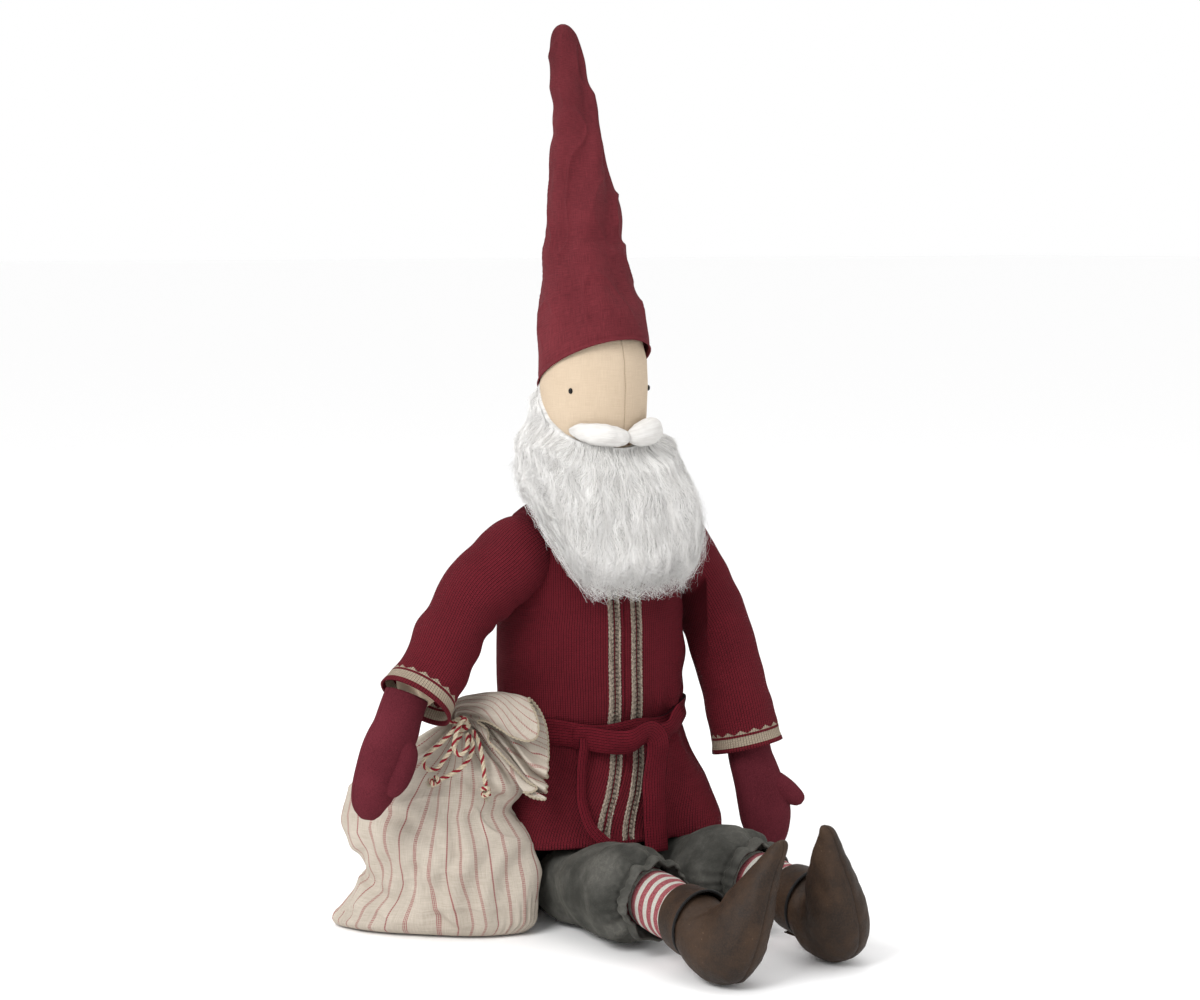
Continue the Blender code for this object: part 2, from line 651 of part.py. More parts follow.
def make_leg(word, side, parent, trouser, sock, hide, felt):
    outer = []
    for step in (80, 55, 28):
        turn = math.radians(step)
        outer.append(leg_ring(HIP.y + THIGH_RADIUS * math.sin(turn), THIGH_RADIUS * math.cos(turn), side))
    outer += [leg_ring(y, radius, side) for y, radius in TROUSER]
    inner = [leg_ring(TROUSER[0][0] + 0.012, 0.022, side)]
    inner += [leg_ring(y, radius - CLOTH * 1.3, side) for y, radius in TROUSER]
    build("trouser_leg_" + word, outer + inner[::-1], trouser, parent)

    lengths = [-0.036, -0.080, -0.130, -0.177, -0.215, -0.2498]
    build("leg_" + word, [leg_ring(y, SOCK_RADIUS, side) for y in lengths], sock, parent)

    front = -0.2498
    outer = [leg_ring(y, CUFF_RADIUS, side) for y in (CUFF_START, -0.237, front)]
    inner = [leg_ring(y, SOCK_RADIUS + GAP * 1.6, side) for y in (CUFF_START, -0.237, front)]
    build("ankle_cuff_" + word, outer + inner[::-1], felt, parent, loop=True)

    rings = []
    for instep, sole, half in SHOE:
        ring = []
        for index in range(AROUND):
            turn = 2 * math.pi * index / AROUND
            share = (1 - math.cos(turn)) / 2
            y = instep[0] + (sole[0] - instep[0]) * share
            z = instep[1] + (sole[1] - instep[1]) * share
            x = side * ANKLE.x + half * math.sin(turn) - side * TOE_LEAN * (max(z, 0) / TOE_TOP) ** 1.6
            ring.append(Vector((x, y, z)))
        rings.append(ring)
    build("shoe_" + word, rings, hide, parent)


def sack_ring(station, inset=0.0, lift=0.0):
    height, x, y, length, depth = station
    turn = math.radians(SACK_TURN)
    across = Vector((math.cos(turn), math.sin(turn), 0))
    along = Vector((-math.sin(turn), math.cos(turn), 0))
    power = 2.5 if height < 0.15 else 2.0
    ring = oval((x, y, height + lift), length, depth, across, along, power)
    coat_wide, coat_deep, coat_middle = between(COAT, max(height, 0.084))
    pressed = []
    for point in ring:
        offset = Vector((point.x, point.y - coat_middle, 0))
        bearing = math.atan2(-offset.x, -offset.y)
        limit = 1 / math.sqrt((math.sin(bearing) / (coat_wide + 0.004)) ** 2
                              + (math.cos(bearing) / (coat_deep + 0.004)) ** 2)
        reach = max(offset.length, limit)
        pressed.append(Vector((0, coat_middle, point.z)) + offset.normalized() * reach)
    middle = sum(pressed, Vector()) / len(pressed)
    if inset:
        pressed = [point + (middle - point).normalized() * inset for point in pressed]
    return pressed


def make_sack(parent, linen, filling, cord):
    outer = [sack_ring(station) for station in SACK]
    turn = math.radians(SACK_TURN)
    across_neck = Vector((math.cos(turn), math.sin(turn), 0))
    along_neck = Vector((-math.sin(turn), math.cos(turn), 0))
    points = [Vector((SACK[-1][1], SACK[-1][2], SACK[-1][0]))] + [Vector(item[0]) for item in SACK_MOUTH]
    mouth, throat = [], []
    for index, (_, wide, thin) in enumerate(SACK_MOUTH, start=1):
        after = points[min(index + 1, len(points) - 1)]
        forward = (after - points[index - 1]).normalized()
        flat = (along_neck - forward * along_neck.dot(forward)).normalized()
        tall = flat.cross(forward)
        mouth.append(oval(points[index], wide, thin, tall, flat))
        share = index / len(SACK_MOUTH)
        bore_wide = SACK_NECK_BORE + (wide - SACK_WALL - SACK_NECK_BORE) * share
        bore_thin = SACK_NECK_BORE + (thin - SACK_WALL - SACK_NECK_BORE) * share
        throat.append(oval(points[index], bore_wide, bore_thin, tall, flat))
    inner = [sack_ring(station, SACK_WALL) for station in SACK[2:-2]]
    inner.insert(0, sack_ring(SACK[1], SACK_WALL * 3, -0.003))
    for station, radius in ((SACK[-2], SACK_NECK_BORE + 0.001), (SACK[-1], SACK_NECK_BORE)):
        height, x, y = station[:3]
        inner.append(oval((x, y, height), radius, radius, across_neck, along_neck))
    build("sack_cloth", outer + mouth + throat[::-1] + inner[::-1], linen, parent)

    stuffed = [sack_ring(station, SACK_WALL + 0.0090) for station in SACK[2:-2]]
    stuffed.insert(0, sack_ring(SACK[1], SACK_WALL * 3 + 0.003, 0.001))
    build("sack_filling", stuffed, filling, parent)

    rings = []
    neck = Vector((SACK[-1][1], SACK[-1][2], SACK[-1][0] - 0.002))
    for index in range(24):
        turn = 2 * math.pi * index / 24
        outward = Vector((math.cos(turn), math.sin(turn), 0))
        centre = neck + outward * (0.0152 + CORD_DIAMETER / 2)
        rings.append(oval(centre, CORD_DIAMETER / 2, CORD_DIAMETER * 0.75, outward, Vector((0, 0, 1)), count=8))
    build("drawcord_wrap", rings, cord, parent, loop=True)

    def ball(name, centre, radius):
        rings = []
        for step in range(-3, 4):
            turn = math.radians(step * 27)
            rings.append(oval(centre + Vector((0, 0, radius * math.sin(turn))), radius * math.cos(turn),
                              radius * math.cos(turn), count=14))
        build(name, rings, cord, parent)

    ball("drawcord_knot", CORD_KNOT, CORD_KNOT_RADIUS)
    ball("tail_knot_left", Vector(TAIL_LEFT[-1]) + Vector((-0.0045, 0.0030, -0.0015)), END_KNOT_RADIUS)
    ball("tail_knot_right", Vector(TAIL_RIGHT[-1]) + Vector((0.0003, -0.0004, -0.0057)), END_KNOT_RADIUS)
    for name, route in (("drawcord_loop_big", LOOP_BIG), ("drawcord_loop_small", LOOP_SMALL),
                        ("drawcord_tail_left", TAIL_LEFT), ("drawcord_tail_right", TAIL_RIGHT)):
        cord_tube(name, route, cord, parent)


def curve_through(points, step):
    """Points at an even step along a smooth curve through hand-chosen points."""
    knots = [Vector(point) for point in points]
    ends = [knots[0] * 2 - knots[1]] + knots + [knots[-1] * 2 - knots[-2]]
    dense = []
    for p0, p1, p2, p3 in zip(ends, ends[1:], ends[2:], ends[3:]):
        for index in range(12):
            t = index / 12
            dense.append(0.5 * ((2 * p1) + (p2 - p0) * t + (2 * p0 - 5 * p1 + 4 * p2 - p3) * t * t
                                + (3 * p1 - p0 - 3 * p2 + p3) * t ** 3))
    dense.append(knots[-1])
    total = sum((b - a).length for a, b in zip(dense, dense[1:]))
    count = max(round(total / step), 4)
    wanted = [total * index / count for index in range(count + 1)]
    even, walked, index = [], 0.0, 0
    for target in wanted:
        while index < len(dense) - 2 and walked + (dense[index + 1] - dense[index]).length < target:
            walked += (dense[index + 1] - dense[index]).length
            index += 1
        length = (dense[index + 1] - dense[index]).length
        share = min((target - walked) / length, 1.0)
        even.append(dense[index].lerp(dense[index + 1], share))
    return even


def cord_tube(name, route, finish, parent):
    curve = bpy.data.curves.new(name, "CURVE")
    curve.dimensions = "3D"
    curve.bevel_depth = CORD_DIAMETER / 2
    curve.bevel_resolution = 2
    curve.resolution_u = 1
    curve.render_resolution_u = 0
    curve.use_fill_caps = True
    points = curve_through(route, CORD_DIAMETER * 1.4)
    spline = curve.splines.new("POLY")
    spline.points.add(len(points) - 1)
    for slot, point in zip(spline.points, points):
        slot.co = (*(point - axis_place(parent)), 1.0)
    item = bpy.data.objects.new(name, curve)
    bpy.context.collection.objects.link(item)
    curve.materials.append(finish)
    item.parent = parent


def pivot(name, place, parent=None):
    item = bpy.data.objects.new(name, None)
    item.location = place
    item.parent = parent
    bpy.context.collection.objects.link(item)
    return item


def axis_place(item):
    """Where a pivot stands, measured from the torso's axis."""
    return Vector((0, 0, 0)) if item.parent is None else item.location.copy()


def main():
    clear_scene()
    calico = material("calico", (0.78, 0.66, 0.51), 0.9)
    stuffing = material("stuffing", (0.90, 0.89, 0.86), 1.0)
    pellets = material("pellets", (0.75, 0.74, 0.70), 0.8)
    coat_knit = material("coat_knit", (0.20, 0.020, 0.035), 0.95)
    belt_knit = material("belt_knit", (0.23, 0.022, 0.040), 0.95)
    band_wool = material("band_wool", (0.36, 0.30, 0.24), 0.95)
    hat_linen = material("hat_linen", (0.25, 0.035, 0.050), 0.9)
    mitten_felt = material("mitten_felt", (0.13, 0.025, 0.042), 0.95)
    velvet = material("velvet", (0.070, 0.070, 0.060), 0.95)
    sock = material("sock", (0.78, 0.70, 0.66), 0.95)
    leather = material("leather", (0.050, 0.028, 0.016), 0.65)
    cuff_felt = material("cuff_felt", (0.045, 0.026, 0.016), 0.8)
    wool = material("wool", (0.84, 0.82, 0.78), 1.0)
    bead = material("bead", (0.010, 0.008, 0.008), 0.3)
    thread = material("thread", (0.20, 0.11, 0.08), 0.9)
    sack_linen = material("sack_linen", (0.60, 0.53, 0.44), 0.95)
    cord = material("cord", (0.70, 0.50, 0.46), 0.95)

    doll = pivot("doll_axis", AXIS_SHIFT)
    neck = pivot("neck_pivot", (0, 0, HEAD[0][0]), doll)
    hat_top = pivot("hat_pivot", (0, 0, HAT_BASE), doll)
    shoulder_right = pivot("shoulder_right_pivot", SLEEVE_RIGHT[0][0], doll)
    shoulder_left = pivot("shoulder_left_pivot", SLEEVE_LEFT[0][0], doll)
    hip_right = pivot("hip_right_pivot", (-HIP.x, HIP.y, HIP.z), doll)
    hip_left = pivot("hip_left_pivot", HIP, doll)
    sack_foot = pivot("sack_pivot", (SACK[0][1], SACK[0][2], 0), doll)

    make_torso(doll, calico, stuffing, pellets, velvet)
    make_coat(doll, coat_knit, band_wool, belt_knit)
    make_head(neck, calico, stuffing, bead, thread, wool)
    make_hat(hat_top, hat_linen, stuffing)
    make_arm("right", shoulder_right, SLEEVE_RIGHT, MITTEN_RIGHT, coat_knit, calico, mitten_felt)
    make_arm("left", shoulder_left, SLEEVE_LEFT, MITTEN_LEFT, coat_knit, calico, mitten_felt)
    make_leg("right", -1, hip_right, velvet, sock, leather, cuff_felt)
    make_leg("left", 1, hip_left, velvet, sock, leather, cuff_felt)
    make_sack(sack_foot, sack_linen, stuffing, cord)


main()
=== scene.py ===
"""Seated tomte gnome doll with a tied cloth sack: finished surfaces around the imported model, in metres, +Z up."""
import math

import bpy
import numpy as np
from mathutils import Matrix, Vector, noise


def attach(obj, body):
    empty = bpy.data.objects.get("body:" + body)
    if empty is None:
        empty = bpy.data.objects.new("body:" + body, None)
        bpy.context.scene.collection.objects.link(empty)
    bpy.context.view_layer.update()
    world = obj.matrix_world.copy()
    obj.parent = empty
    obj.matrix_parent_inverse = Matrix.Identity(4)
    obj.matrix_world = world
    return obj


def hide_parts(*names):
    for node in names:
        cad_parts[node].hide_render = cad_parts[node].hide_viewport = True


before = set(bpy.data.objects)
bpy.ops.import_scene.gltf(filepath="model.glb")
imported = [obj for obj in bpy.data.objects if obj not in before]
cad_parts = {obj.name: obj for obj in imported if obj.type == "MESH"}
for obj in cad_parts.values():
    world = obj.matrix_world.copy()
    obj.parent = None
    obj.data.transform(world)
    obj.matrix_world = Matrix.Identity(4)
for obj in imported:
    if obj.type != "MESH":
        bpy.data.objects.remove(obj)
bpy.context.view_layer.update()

AXIS = np.array((0.0, -0.040, 0.0))     # foot of the torso's upright axis; the tables below are measured from it
TAU = 2 * math.pi
SIDES = ((-1, "right"), (1, "left"))    # of the doll, with the sign of x


def millimetres(rows):
    return np.array(rows, float) / 1000


# ---------------------------------------------------------------- shapes

def spline(stations, steps):
    """Rows of numbers along a smooth curve through the stations, with steps rows for each span."""
    knots = np.array(stations, float)
    ends = np.vstack((2 * knots[0] - knots[1], knots, 2 * knots[-1] - knots[-2]))
    rows = []
    for p0, p1, p2, p3 in zip(ends, ends[1:], ends[2:], ends[3:]):
        for index in range(steps):
            t = index / steps
            rows.append(0.5 * (2 * p1 + (p2 - p0) * t + (2 * p0 - 5 * p1 + 4 * p2 - p3) * t * t
                               + (3 * p1 - p0 - 3 * p2 + p3) * t ** 3))
    rows.append(knots[-1])
    return np.array(rows)


def lengths(points):
    """Distance walked along a line of points, at each of them."""
    return np.concatenate(([0.0], np.cumsum(np.linalg.norm(np.diff(points, axis=0), axis=1))))


def even(points, count):
    """The points of a line moved to even steps along it."""
    points = np.array(points, float)
    walked = lengths(points)
    wanted = np.linspace(0, walked[-1], count)
    return np.stack([np.interp(wanted, walked, points[:, k]) for k in range(points.shape[1])], axis=1)


def smooth(value, low, high):
    """0 at low and beyond, 1 at high and beyond; low may be the larger of the two."""
    share = np.clip((np.asarray(value, float) - low) / (high - low), 0, 1)
    return share * share * (3 - 2 * share)


def bell(value, centre, width):
    return np.exp(-((np.asarray(value, float) - centre) / width) ** 2)


def unit(vectors):
    return vectors / np.maximum(np.linalg.norm(vectors, axis=-1, keepdims=True), 1e-12)


def cloud(points, size, shift=0.0):
    """Smooth noise of about -1 to 1 over points; size is a patch's size in metres, one number or three."""
    places = (np.asarray(points, float) / np.asarray(size, float) + shift).reshape(-1, 3)
    values = np.array([noise.noise(place) for place in places.tolist()])
    return values.reshape(points.shape[:-1]) * 1.7


def ridges(points, size, shift=0.0):
    """Noise with sharp crests, 0 to 1, as in creased cloth."""
    return 1 - np.minimum(np.abs(cloud(points, size, shift)) * 1.8, 1)


def normals(grid, closed):
    """Outward directions of a grid whose columns run anticlockwise seen from its last row."""
    if closed:
        across = np.roll(grid, -1, axis=1) - np.roll(grid, 1, axis=1)
    else:
        across = np.gradient(grid, axis=1)
    return unit(np.cross(across, np.gradient(grid, axis=0)))


def inside_out(grid):
    """Whether the columns of a closed grid run the other way round."""
    middle = grid.shape[0] // 2
    return np.sum(normals(grid, True)[middle] * (grid[middle] - grid[middle].mean(axis=0))) < 0


def outward(grid):
    """Outward directions of a closed grid, whichever way its columns run."""
    return normals(grid, True) * (-1 if inside_out(grid) else 1)


def turns(count):
    """The bearings of a ring's columns."""
    return (np.arange(count) * TAU / count)[None, :]


def squared(turn, power):
    """Cosine and sine of a ring; a power above 2 squares it."""
    cos, sin = np.cos(turn), np.sin(turn)
    return np.sign(cos) * np.abs(cos) ** (2 / power), np.sign(sin) * np.abs(sin) ** (2 / power)


def tube(path, wide, deep, side, count, power=2.0):
    """A grid round a path. wide and deep are the radii across and along side."""
    path = np.asarray(path, float)
    forward = unit(np.gradient(path, axis=0))
    side = np.broadcast_to(np.asarray(side, float), path.shape)
    along = unit(side - forward * np.sum(side * forward, axis=1, keepdims=True))
    across = np.cross(along, forward)
    cos, sin = squared(turns(count)[0], power)
    wide, deep = (np.broadcast_to(radius, len(path))[:, None, None] for radius in (wide, deep))
    return (path[:, None, :] + across[:, None, :] * wide * cos[None, :, None]
            + along[:, None, :] * deep * sin[None, :, None])


def limb(stations, count, power=2.0):
    """A tube over rows of x, y, z, radius across and radius along y."""
    return tube(stations[:, :3], stations[:, 3], stations[:, 4], (0, 1, 0), count, power)


def uv_grid(u, v):
    return np.stack(np.broadcast_arrays(u, v), axis=2)


def around_uv(columns, around, v):
    """A map whose u runs once round a closed grid."""
    return uv_grid(np.linspace(0, around, columns + 1)[None, :], v)


def lengths_uv(grid, closed):
    """u and v in metres: u by columns along the middle row, v along the mean of the columns."""
    middle = grid[grid.shape[0] // 2]
    if closed:
        middle = np.vstack((middle, middle[:1]))
    return uv_grid(lengths(middle)[None, :], lengths(grid.mean(axis=1))[:, None])


def mesh_of(name, points, faces, uv=None):
    """A smooth mesh; uv holds a pair for each corner of each face."""
    mesh = bpy.data.meshes.new(name)
    mesh.from_pydata(points, [], faces)
    layer = mesh.uv_layers.new(name="cloth")
    if uv is not None:
        layer.data.foreach_set("uv", uv.astype(np.float32).ravel())
    mesh.shade_smooth()
    return mesh


def thicken(item, thick, offset):
    shell = item.modifiers.new("thickness", "SOLIDIFY")
    shell.thickness = thick
    shell.offset = offset


def skin(name, grid, look, body, slot, closed=True, uv=None, thick=0.0, caps=False, replaces=()):
    """A smooth piece over a grid measured from the torso's axis; thick makes a shell of it."""
    rows, columns = grid.shape[:2]
    if uv is None:
        uv = lengths_uv(grid, closed)
    points = (grid + AXIS).reshape(-1, 3).tolist()
    low = np.arange(rows - 1)[:, None] * columns
    here = np.arange(columns if closed else columns - 1)[None, :]
    after = (here + 1) % columns
    faces = np.stack((low + here, low + after, low + columns + after, low + columns + here), axis=2)
    faces = faces.reshape(-1, 4).tolist()
    loops = np.stack((uv[:-1, :-1], uv[:-1, 1:], uv[1:, 1:], uv[1:, :-1]), axis=2).reshape(-1, 2)
    if caps:
        extra = []
        for row, turned in ((0, True), (rows - 1, False)):
            middle = len(points)
            points.append((grid[row].mean(axis=0) + AXIS).tolist())
            for index in range(columns):
                a, b = row * columns + index, row * columns + (index + 1) % columns
                ua, ub = uv[row, index], uv[row, index + 1]
                if turned:
                    a, b, ua, ub = b, a, ub, ua
                faces.append([a, b, middle])
                extra += [ua, ub, (ua + ub) / 2]
        loops = np.vstack((loops, np.array(extra)))
    mesh = mesh_of(name, points, faces, loops)
    if closed and inside_out(grid):
        mesh.flip_normals()
    item = place(name, mesh, look, body, slot, replaces)
    if thick:
        thicken(item, thick, -1)
    return item


def in_scene(name, data):
    item = bpy.data.objects.new(name, data)
    bpy.context.collection.objects.link(item)
    return item


def place(name, data, look, body, slot, replaces=()):
    """Put a mesh in the scene, on its body, with the materials named in look."""
    item = in_scene(name, data)
    for one in look.split():
        data.materials.append(LOOKS[one])
    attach(item, body)
    if replaces:
        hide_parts(*replaces)
    return item


# ---------------------------------------------------------------- materials

class Value:
    """An output of a material's node; arithmetic on it adds the nodes for that."""

    def __init__(self, look, socket):
        self.look, self.socket = look, socket

    def __add__(self, other):
        return self.look.math("ADD", self, other)

    def __sub__(self, other):
        return self.look.math("SUBTRACT", self, other)

    def __rsub__(self, other):
        return self.look.math("SUBTRACT", other, self)

    def __mul__(self, other):
        return self.look.math("MULTIPLY", self, other)

    def __truediv__(self, other):
        return self.look.math("DIVIDE", self, other)


class Look:
    """A node material, built one node at a time."""

    def __init__(self, name, roughness, sheen=0.0, specular=0.3, tint=(1.0, 1.0, 1.0, 1.0)):
        self.material = bpy.data.materials.new(name)
        self.material.use_nodes = True
        self.tree = self.material.node_tree
        self.shader = self.tree.nodes["Principled BSDF"]
        self.shader.inputs["Roughness"].default_value = roughness
        self.shader.inputs["Sheen Weight"].default_value = sheen
        self.shader.inputs["Sheen Tint"].default_value = tint
        self.shader.inputs["Specular IOR Level"].default_value = specular
        self.height = None

    def add(self, kind, inputs, output=0, **settings):
        node = self.tree.nodes.new(kind)
        for key, value in settings.items():
            setattr(node, key, value)
        for key, value in inputs.items():
            if isinstance(value, Value):
                self.tree.links.new(value.socket, node.inputs[key])
            else:
                node.inputs[key].default_value = value
        return Value(self, node.outputs[output])

    def math(self, operation, a, b=0.0):
        return self.add("ShaderNodeMath", {0: a, 1: b}, operation=operation)

    def size(self, value):
        return self.math("ABSOLUTE", value)

    def sine(self, value):
        return self.math("SINE", value)

    def fract(self, value):
        return self.math("FRACT", value)

    def mix(self, share, a, b):
        return self.add("ShaderNodeMix", {0: share, 6: a, 7: b}, output=2, data_type="RGBA")

    def ramp(self, value, low, high):
        """0 at low, 1 at high; low may be the larger of the two."""
        return self.add("ShaderNodeMapRange", {0: value, 1: low, 2: high}, interpolation_type="SMOOTHSTEP")

    def place(self):
        return self.add("ShaderNodeTexCoord", {}, output="Object")

    def uv(self):
        """The cloth's map, in metres."""
        both = self.add("ShaderNodeUVMap", {}, uv_map="cloth")
        return [self.add("ShaderNodeSeparateXYZ", {0: both}, output=axis) for axis in (0, 1)]

    def stretched(self, vector, scale):
        return self.add("ShaderNodeMapping", {0: vector, 3: scale})

    def noise(self, vector, scale, detail=3.0, roughness=0.55):
        inputs = {"Vector": vector, "Scale": scale, "Detail": detail, "Roughness": roughness}
        return self.add("ShaderNodeTexNoise", inputs)

    def fibres(self, across, along, detail, roughness=0.55):
        """Noise over the cloth's map, with its own scales over u and v."""
        u, v = self.uv()
        flat = self.add("ShaderNodeCombineXYZ", {0: u, 1: v})
        return self.noise(self.stretched(flat, (across, along, 1.0)), 1.0, detail, roughness)

    def bump(self, height, distance):
        inputs = {"Height": height, "Distance": distance}
        if self.height is not None:
            inputs["Normal"] = self.height
        self.height = self.add("ShaderNodeBump", inputs)

    def done(self, colour=None):
        for value, name in ((colour, "Base Color"), (self.height, "Normal")):
            if value is not None:
                self.link(value, name)
        return self.material

    def link(self, value, name):
        self.tree.links.new(value.socket, self.shader.inputs[name])


def rgb(red, green, blue):
    """A linear colour from ordinary 0 to 255 values."""
    def linear(value):
        value /= 255
        return value / 12.92 if value <= 0.04045 else ((value + 0.055) / 1.055) ** 2.4
    return (linear(red), linear(green), linear(blue), 1.0)


def knit(name, dark, light, wale, course, border=None):
    """Stocking stitch: columns of V stitches along v, whose low parts and the grooves between the columns are painted
    darker, as painted shade. A border adds a pale band and crown peaks at v 0.
    """
    look = Look(name, 0.95, sheen=0.10, specular=0.08, tint=light)
    u, v = look.uv()
    column = look.fract(u / wale)
    off = look.size(column - 0.5)
    lean = v / course + off * 1.3
    leg = look.size(look.sine(column * TAU))
    row = look.sine(lean * TAU)
    # painted shade: the grooves between the columns and the low parts of each stitch darken the colour
    groove = look.ramp(off, 0.5, 0.30)
    stitch = look.math("POWER", leg, 0.6) * (row * 0.28 + 0.72)
    spot = look.place()
    fuzz = look.noise(spot, 900.0, 2.0)
    patch = look.noise(spot, 26.0, 3.0)
    tone = (stitch * 0.65 + 0.35) * (groove * 0.85 + 0.15) * (patch * 0.5 + 0.78) * (fuzz * 0.8 + 0.62)
    colour = look.mix(look.ramp(tone, 0.05, 0.95), dark, light)
    if border is not None:
        pale_dark, pale_light, repeat = border
        crown = look.fract(u / repeat)
        middle = 1.0 - look.size(crown * 2.0 - 1.0)
        stepped = look.math("FLOOR", middle * 3.5) / 3.0
        top = stepped * 0.003 + 0.0164
        band = look.ramp(v, 0.0042, 0.0048) * look.ramp(v, 0.0138, 0.0132)
        peak = look.ramp(v, 0.0158, 0.0162) * look.math("LESS_THAN", v, top)
        ivory = look.mix(look.ramp(tone, 0.10, 0.80), pale_dark, pale_light)
        colour = look.mix(look.math("MAXIMUM", band, peak), colour, ivory)
    look.bump(stitch, 0.0011)
    look.bump(fuzz, 0.0004)
    return look.done(colour)


def linen(name, dark, light, thread, stripe=None):
    """Plain weave with slubs. A stripe adds dotted woven lines at every third of its repeat round u."""
    look = Look(name, 0.90, sheen=0.08, specular=0.12, tint=light)
    u, v = look.uv()
    weave = look.sine(u * (TAU / thread)) * look.sine(v * (TAU / thread))
    spot = look.place()
    slub = look.fibres(70.0, 1400.0, 2.0) + look.fibres(1400.0, 70.0, 2.0)
    patch = look.noise(spot, 14.0, 2.0)
    tone = slub * 0.42 + patch * 0.35 + weave * 0.07
    colour = look.mix(look.ramp(tone, 0.30, 0.92), dark, light)
    if stripe is not None:
        red, repeat = stripe
        phase = look.fract(u / repeat)
        total = None
        for centre, half in ((1 / 6, 0.0015), (1 / 2, 0.0015), (5 / 6, 0.0007)):
            off = look.size(phase - centre)
            line = look.ramp(off, (half + 0.0003) / repeat, (half - 0.0002) / repeat)
            if half > 0.001:
                rows = look.size(look.sine(off * (repeat * TAU / 0.0024)))
                line = line * look.ramp(rows, 1.0, 0.55)
            total = line if total is None else look.math("MAXIMUM", total, line)
        dots = look.ramp(look.sine(v * (TAU / 0.0017)), -1.0, -0.1)
        wear = look.ramp(look.noise(spot, 120.0, 2.0), 0.25, 0.55)
        colour = look.mix(total * dots * (wear * 0.1 + 0.95), colour, red)
    look.bump(weave, 0.00012)
    look.bump(slub, 0.0003)
    look.bump(look.noise(spot, 120.0, 3.0, 0.5), 0.0006)
    return look.done(colour)


def felt(name, dark, light):
    look = Look(name, 0.97, sheen=0.12, specular=0.06, tint=light)
    spot = look.place()
    grain = look.noise(spot, 1500.0, 3.0, 0.6)
    patch = look.noise(spot, 16.0, 2.0)
    tone = grain * 0.75 + patch * 0.3
    colour = look.mix(look.ramp(tone, 0.30, 0.78), dark, light)
    look.bump(grain, 0.0004)
    return look.done(colour)


def velvet():
    look = Look("washed_velvet", 0.9, sheen=0.22, specular=0.08, tint=rgb(150, 150, 138))
    look.shader.inputs["Sheen Roughness"].default_value = 0.35
    spot = look.place()
    pile = look.fibres(2200.0, 500.0, 2.0)
    cloudy = look.noise(spot, 30.0, 5.0, 0.6)
    creases = look.noise(spot, 75.0, 6.0, 0.7)
    crest = look.ramp(look.size(creases - 0.5), 0.045, 0.0)
    # the crests of the creases are paler, in cloudy patches
    pale_crests = crest * look.ramp(cloudy, 0.45, 0.7)
    base = look.mix(look.ramp(cloudy, 0.3, 0.72), rgb(50, 50, 47), rgb(80, 79, 75))
    colour = look.mix(pale_crests * 0.22, base, rgb(122, 120, 111))
    colour = look.mix(look.ramp(pile, 0.45, 0.75) * 0.22, colour, rgb(92, 90, 82))
    look.bump(pile, 0.0003)
    look.bump(creases, 0.0005)
    return look.done(colour)


def leather():
    look = Look("worn_leatherette", 0.70, specular=0.22)
    spot = look.place()
    grain = look.noise(spot, 700.0, 4.0, 0.65)
    patch = look.noise(spot, 32.0, 5.0, 0.6)
    specks = look.ramp(look.noise(spot, 330.0, 3.0, 0.6), 0.66, 0.76)
    base = look.mix(look.ramp(patch, 0.32, 0.70), rgb(30, 21, 15), rgb(56, 40, 28))
    base = look.mix(look.ramp(grain, 0.35, 0.7) * 0.28, base, rgb(74, 55, 40))
    worn = specks * look.ramp(patch, 0.45, 0.65)
    colour = look.mix(worn * 0.55, base, rgb(122, 100, 80))
    rough = patch * 0.3 + 0.45
    look.link(rough, "Roughness")
    look.bump(grain, 0.0004)
    look.bump(look.noise(spot, 90.0, 3.0), 0.0006)
    return look.done(colour)


def striped_sock():
    """Knitted stripes across v: 5.2 mm off-white and 7.3 mm marled red."""
    look = Look("striped_sock", 0.95, sheen=0.06, specular=0.08)
    u, v = look.uv()
    phase = look.fract(v / 0.0125)
    red = look.ramp(phase, 0.0, 0.05) * look.ramp(phase, 0.62, 0.57)
    column = look.size(look.sine(u * (math.pi / 0.0011)))
    row = look.size(look.sine(v * (math.pi / 0.001)))
    marl = look.noise(look.place(), 1100.0, 2.0)
    pink = look.mix(look.ramp(marl, 0.35, 0.70), rgb(122, 42, 52), rgb(176, 104, 108))
    white = look.mix(look.ramp(marl, 0.3, 0.7), rgb(176, 174, 164), rgb(204, 203, 194))
    colour = look.mix(red, white, pink)
    stitch = column * row
    shaded = look.mix(look.ramp(stitch, 0.35, 0.0), colour, rgb(96, 70, 68))
    colour = look.mix(0.75, shaded, colour)
    look.bump(stitch, 0.0004)
    return look.done(colour)


def wool(name, dark, light):
    look = Look(name, 0.95, sheen=0.10, specular=0.05)
    fibre = look.fibres(1500.0, 60.0, 4.0, 0.65)
    lock = look.fibres(220.0, 26.0, 3.0)
    tone = fibre * 0.6 + lock * 0.5
    colour = look.mix(look.ramp(tone, 0.36, 0.72), dark, light)
    look.bump(fibre, 0.0008)
    return look.done(colour)


def plain(name, dark, light, roughness, scale, bump=0.0003):
    look = Look(name, roughness, sheen=0.05, specular=0.2)
    grain = look.noise(look.place(), scale, 3.0, 0.6)
    look.bump(grain, bump)
    return look.done(look.mix(look.ramp(grain, 0.3, 0.7), dark, light))


STITCH = 0.0042                 # length of one crochet stitch


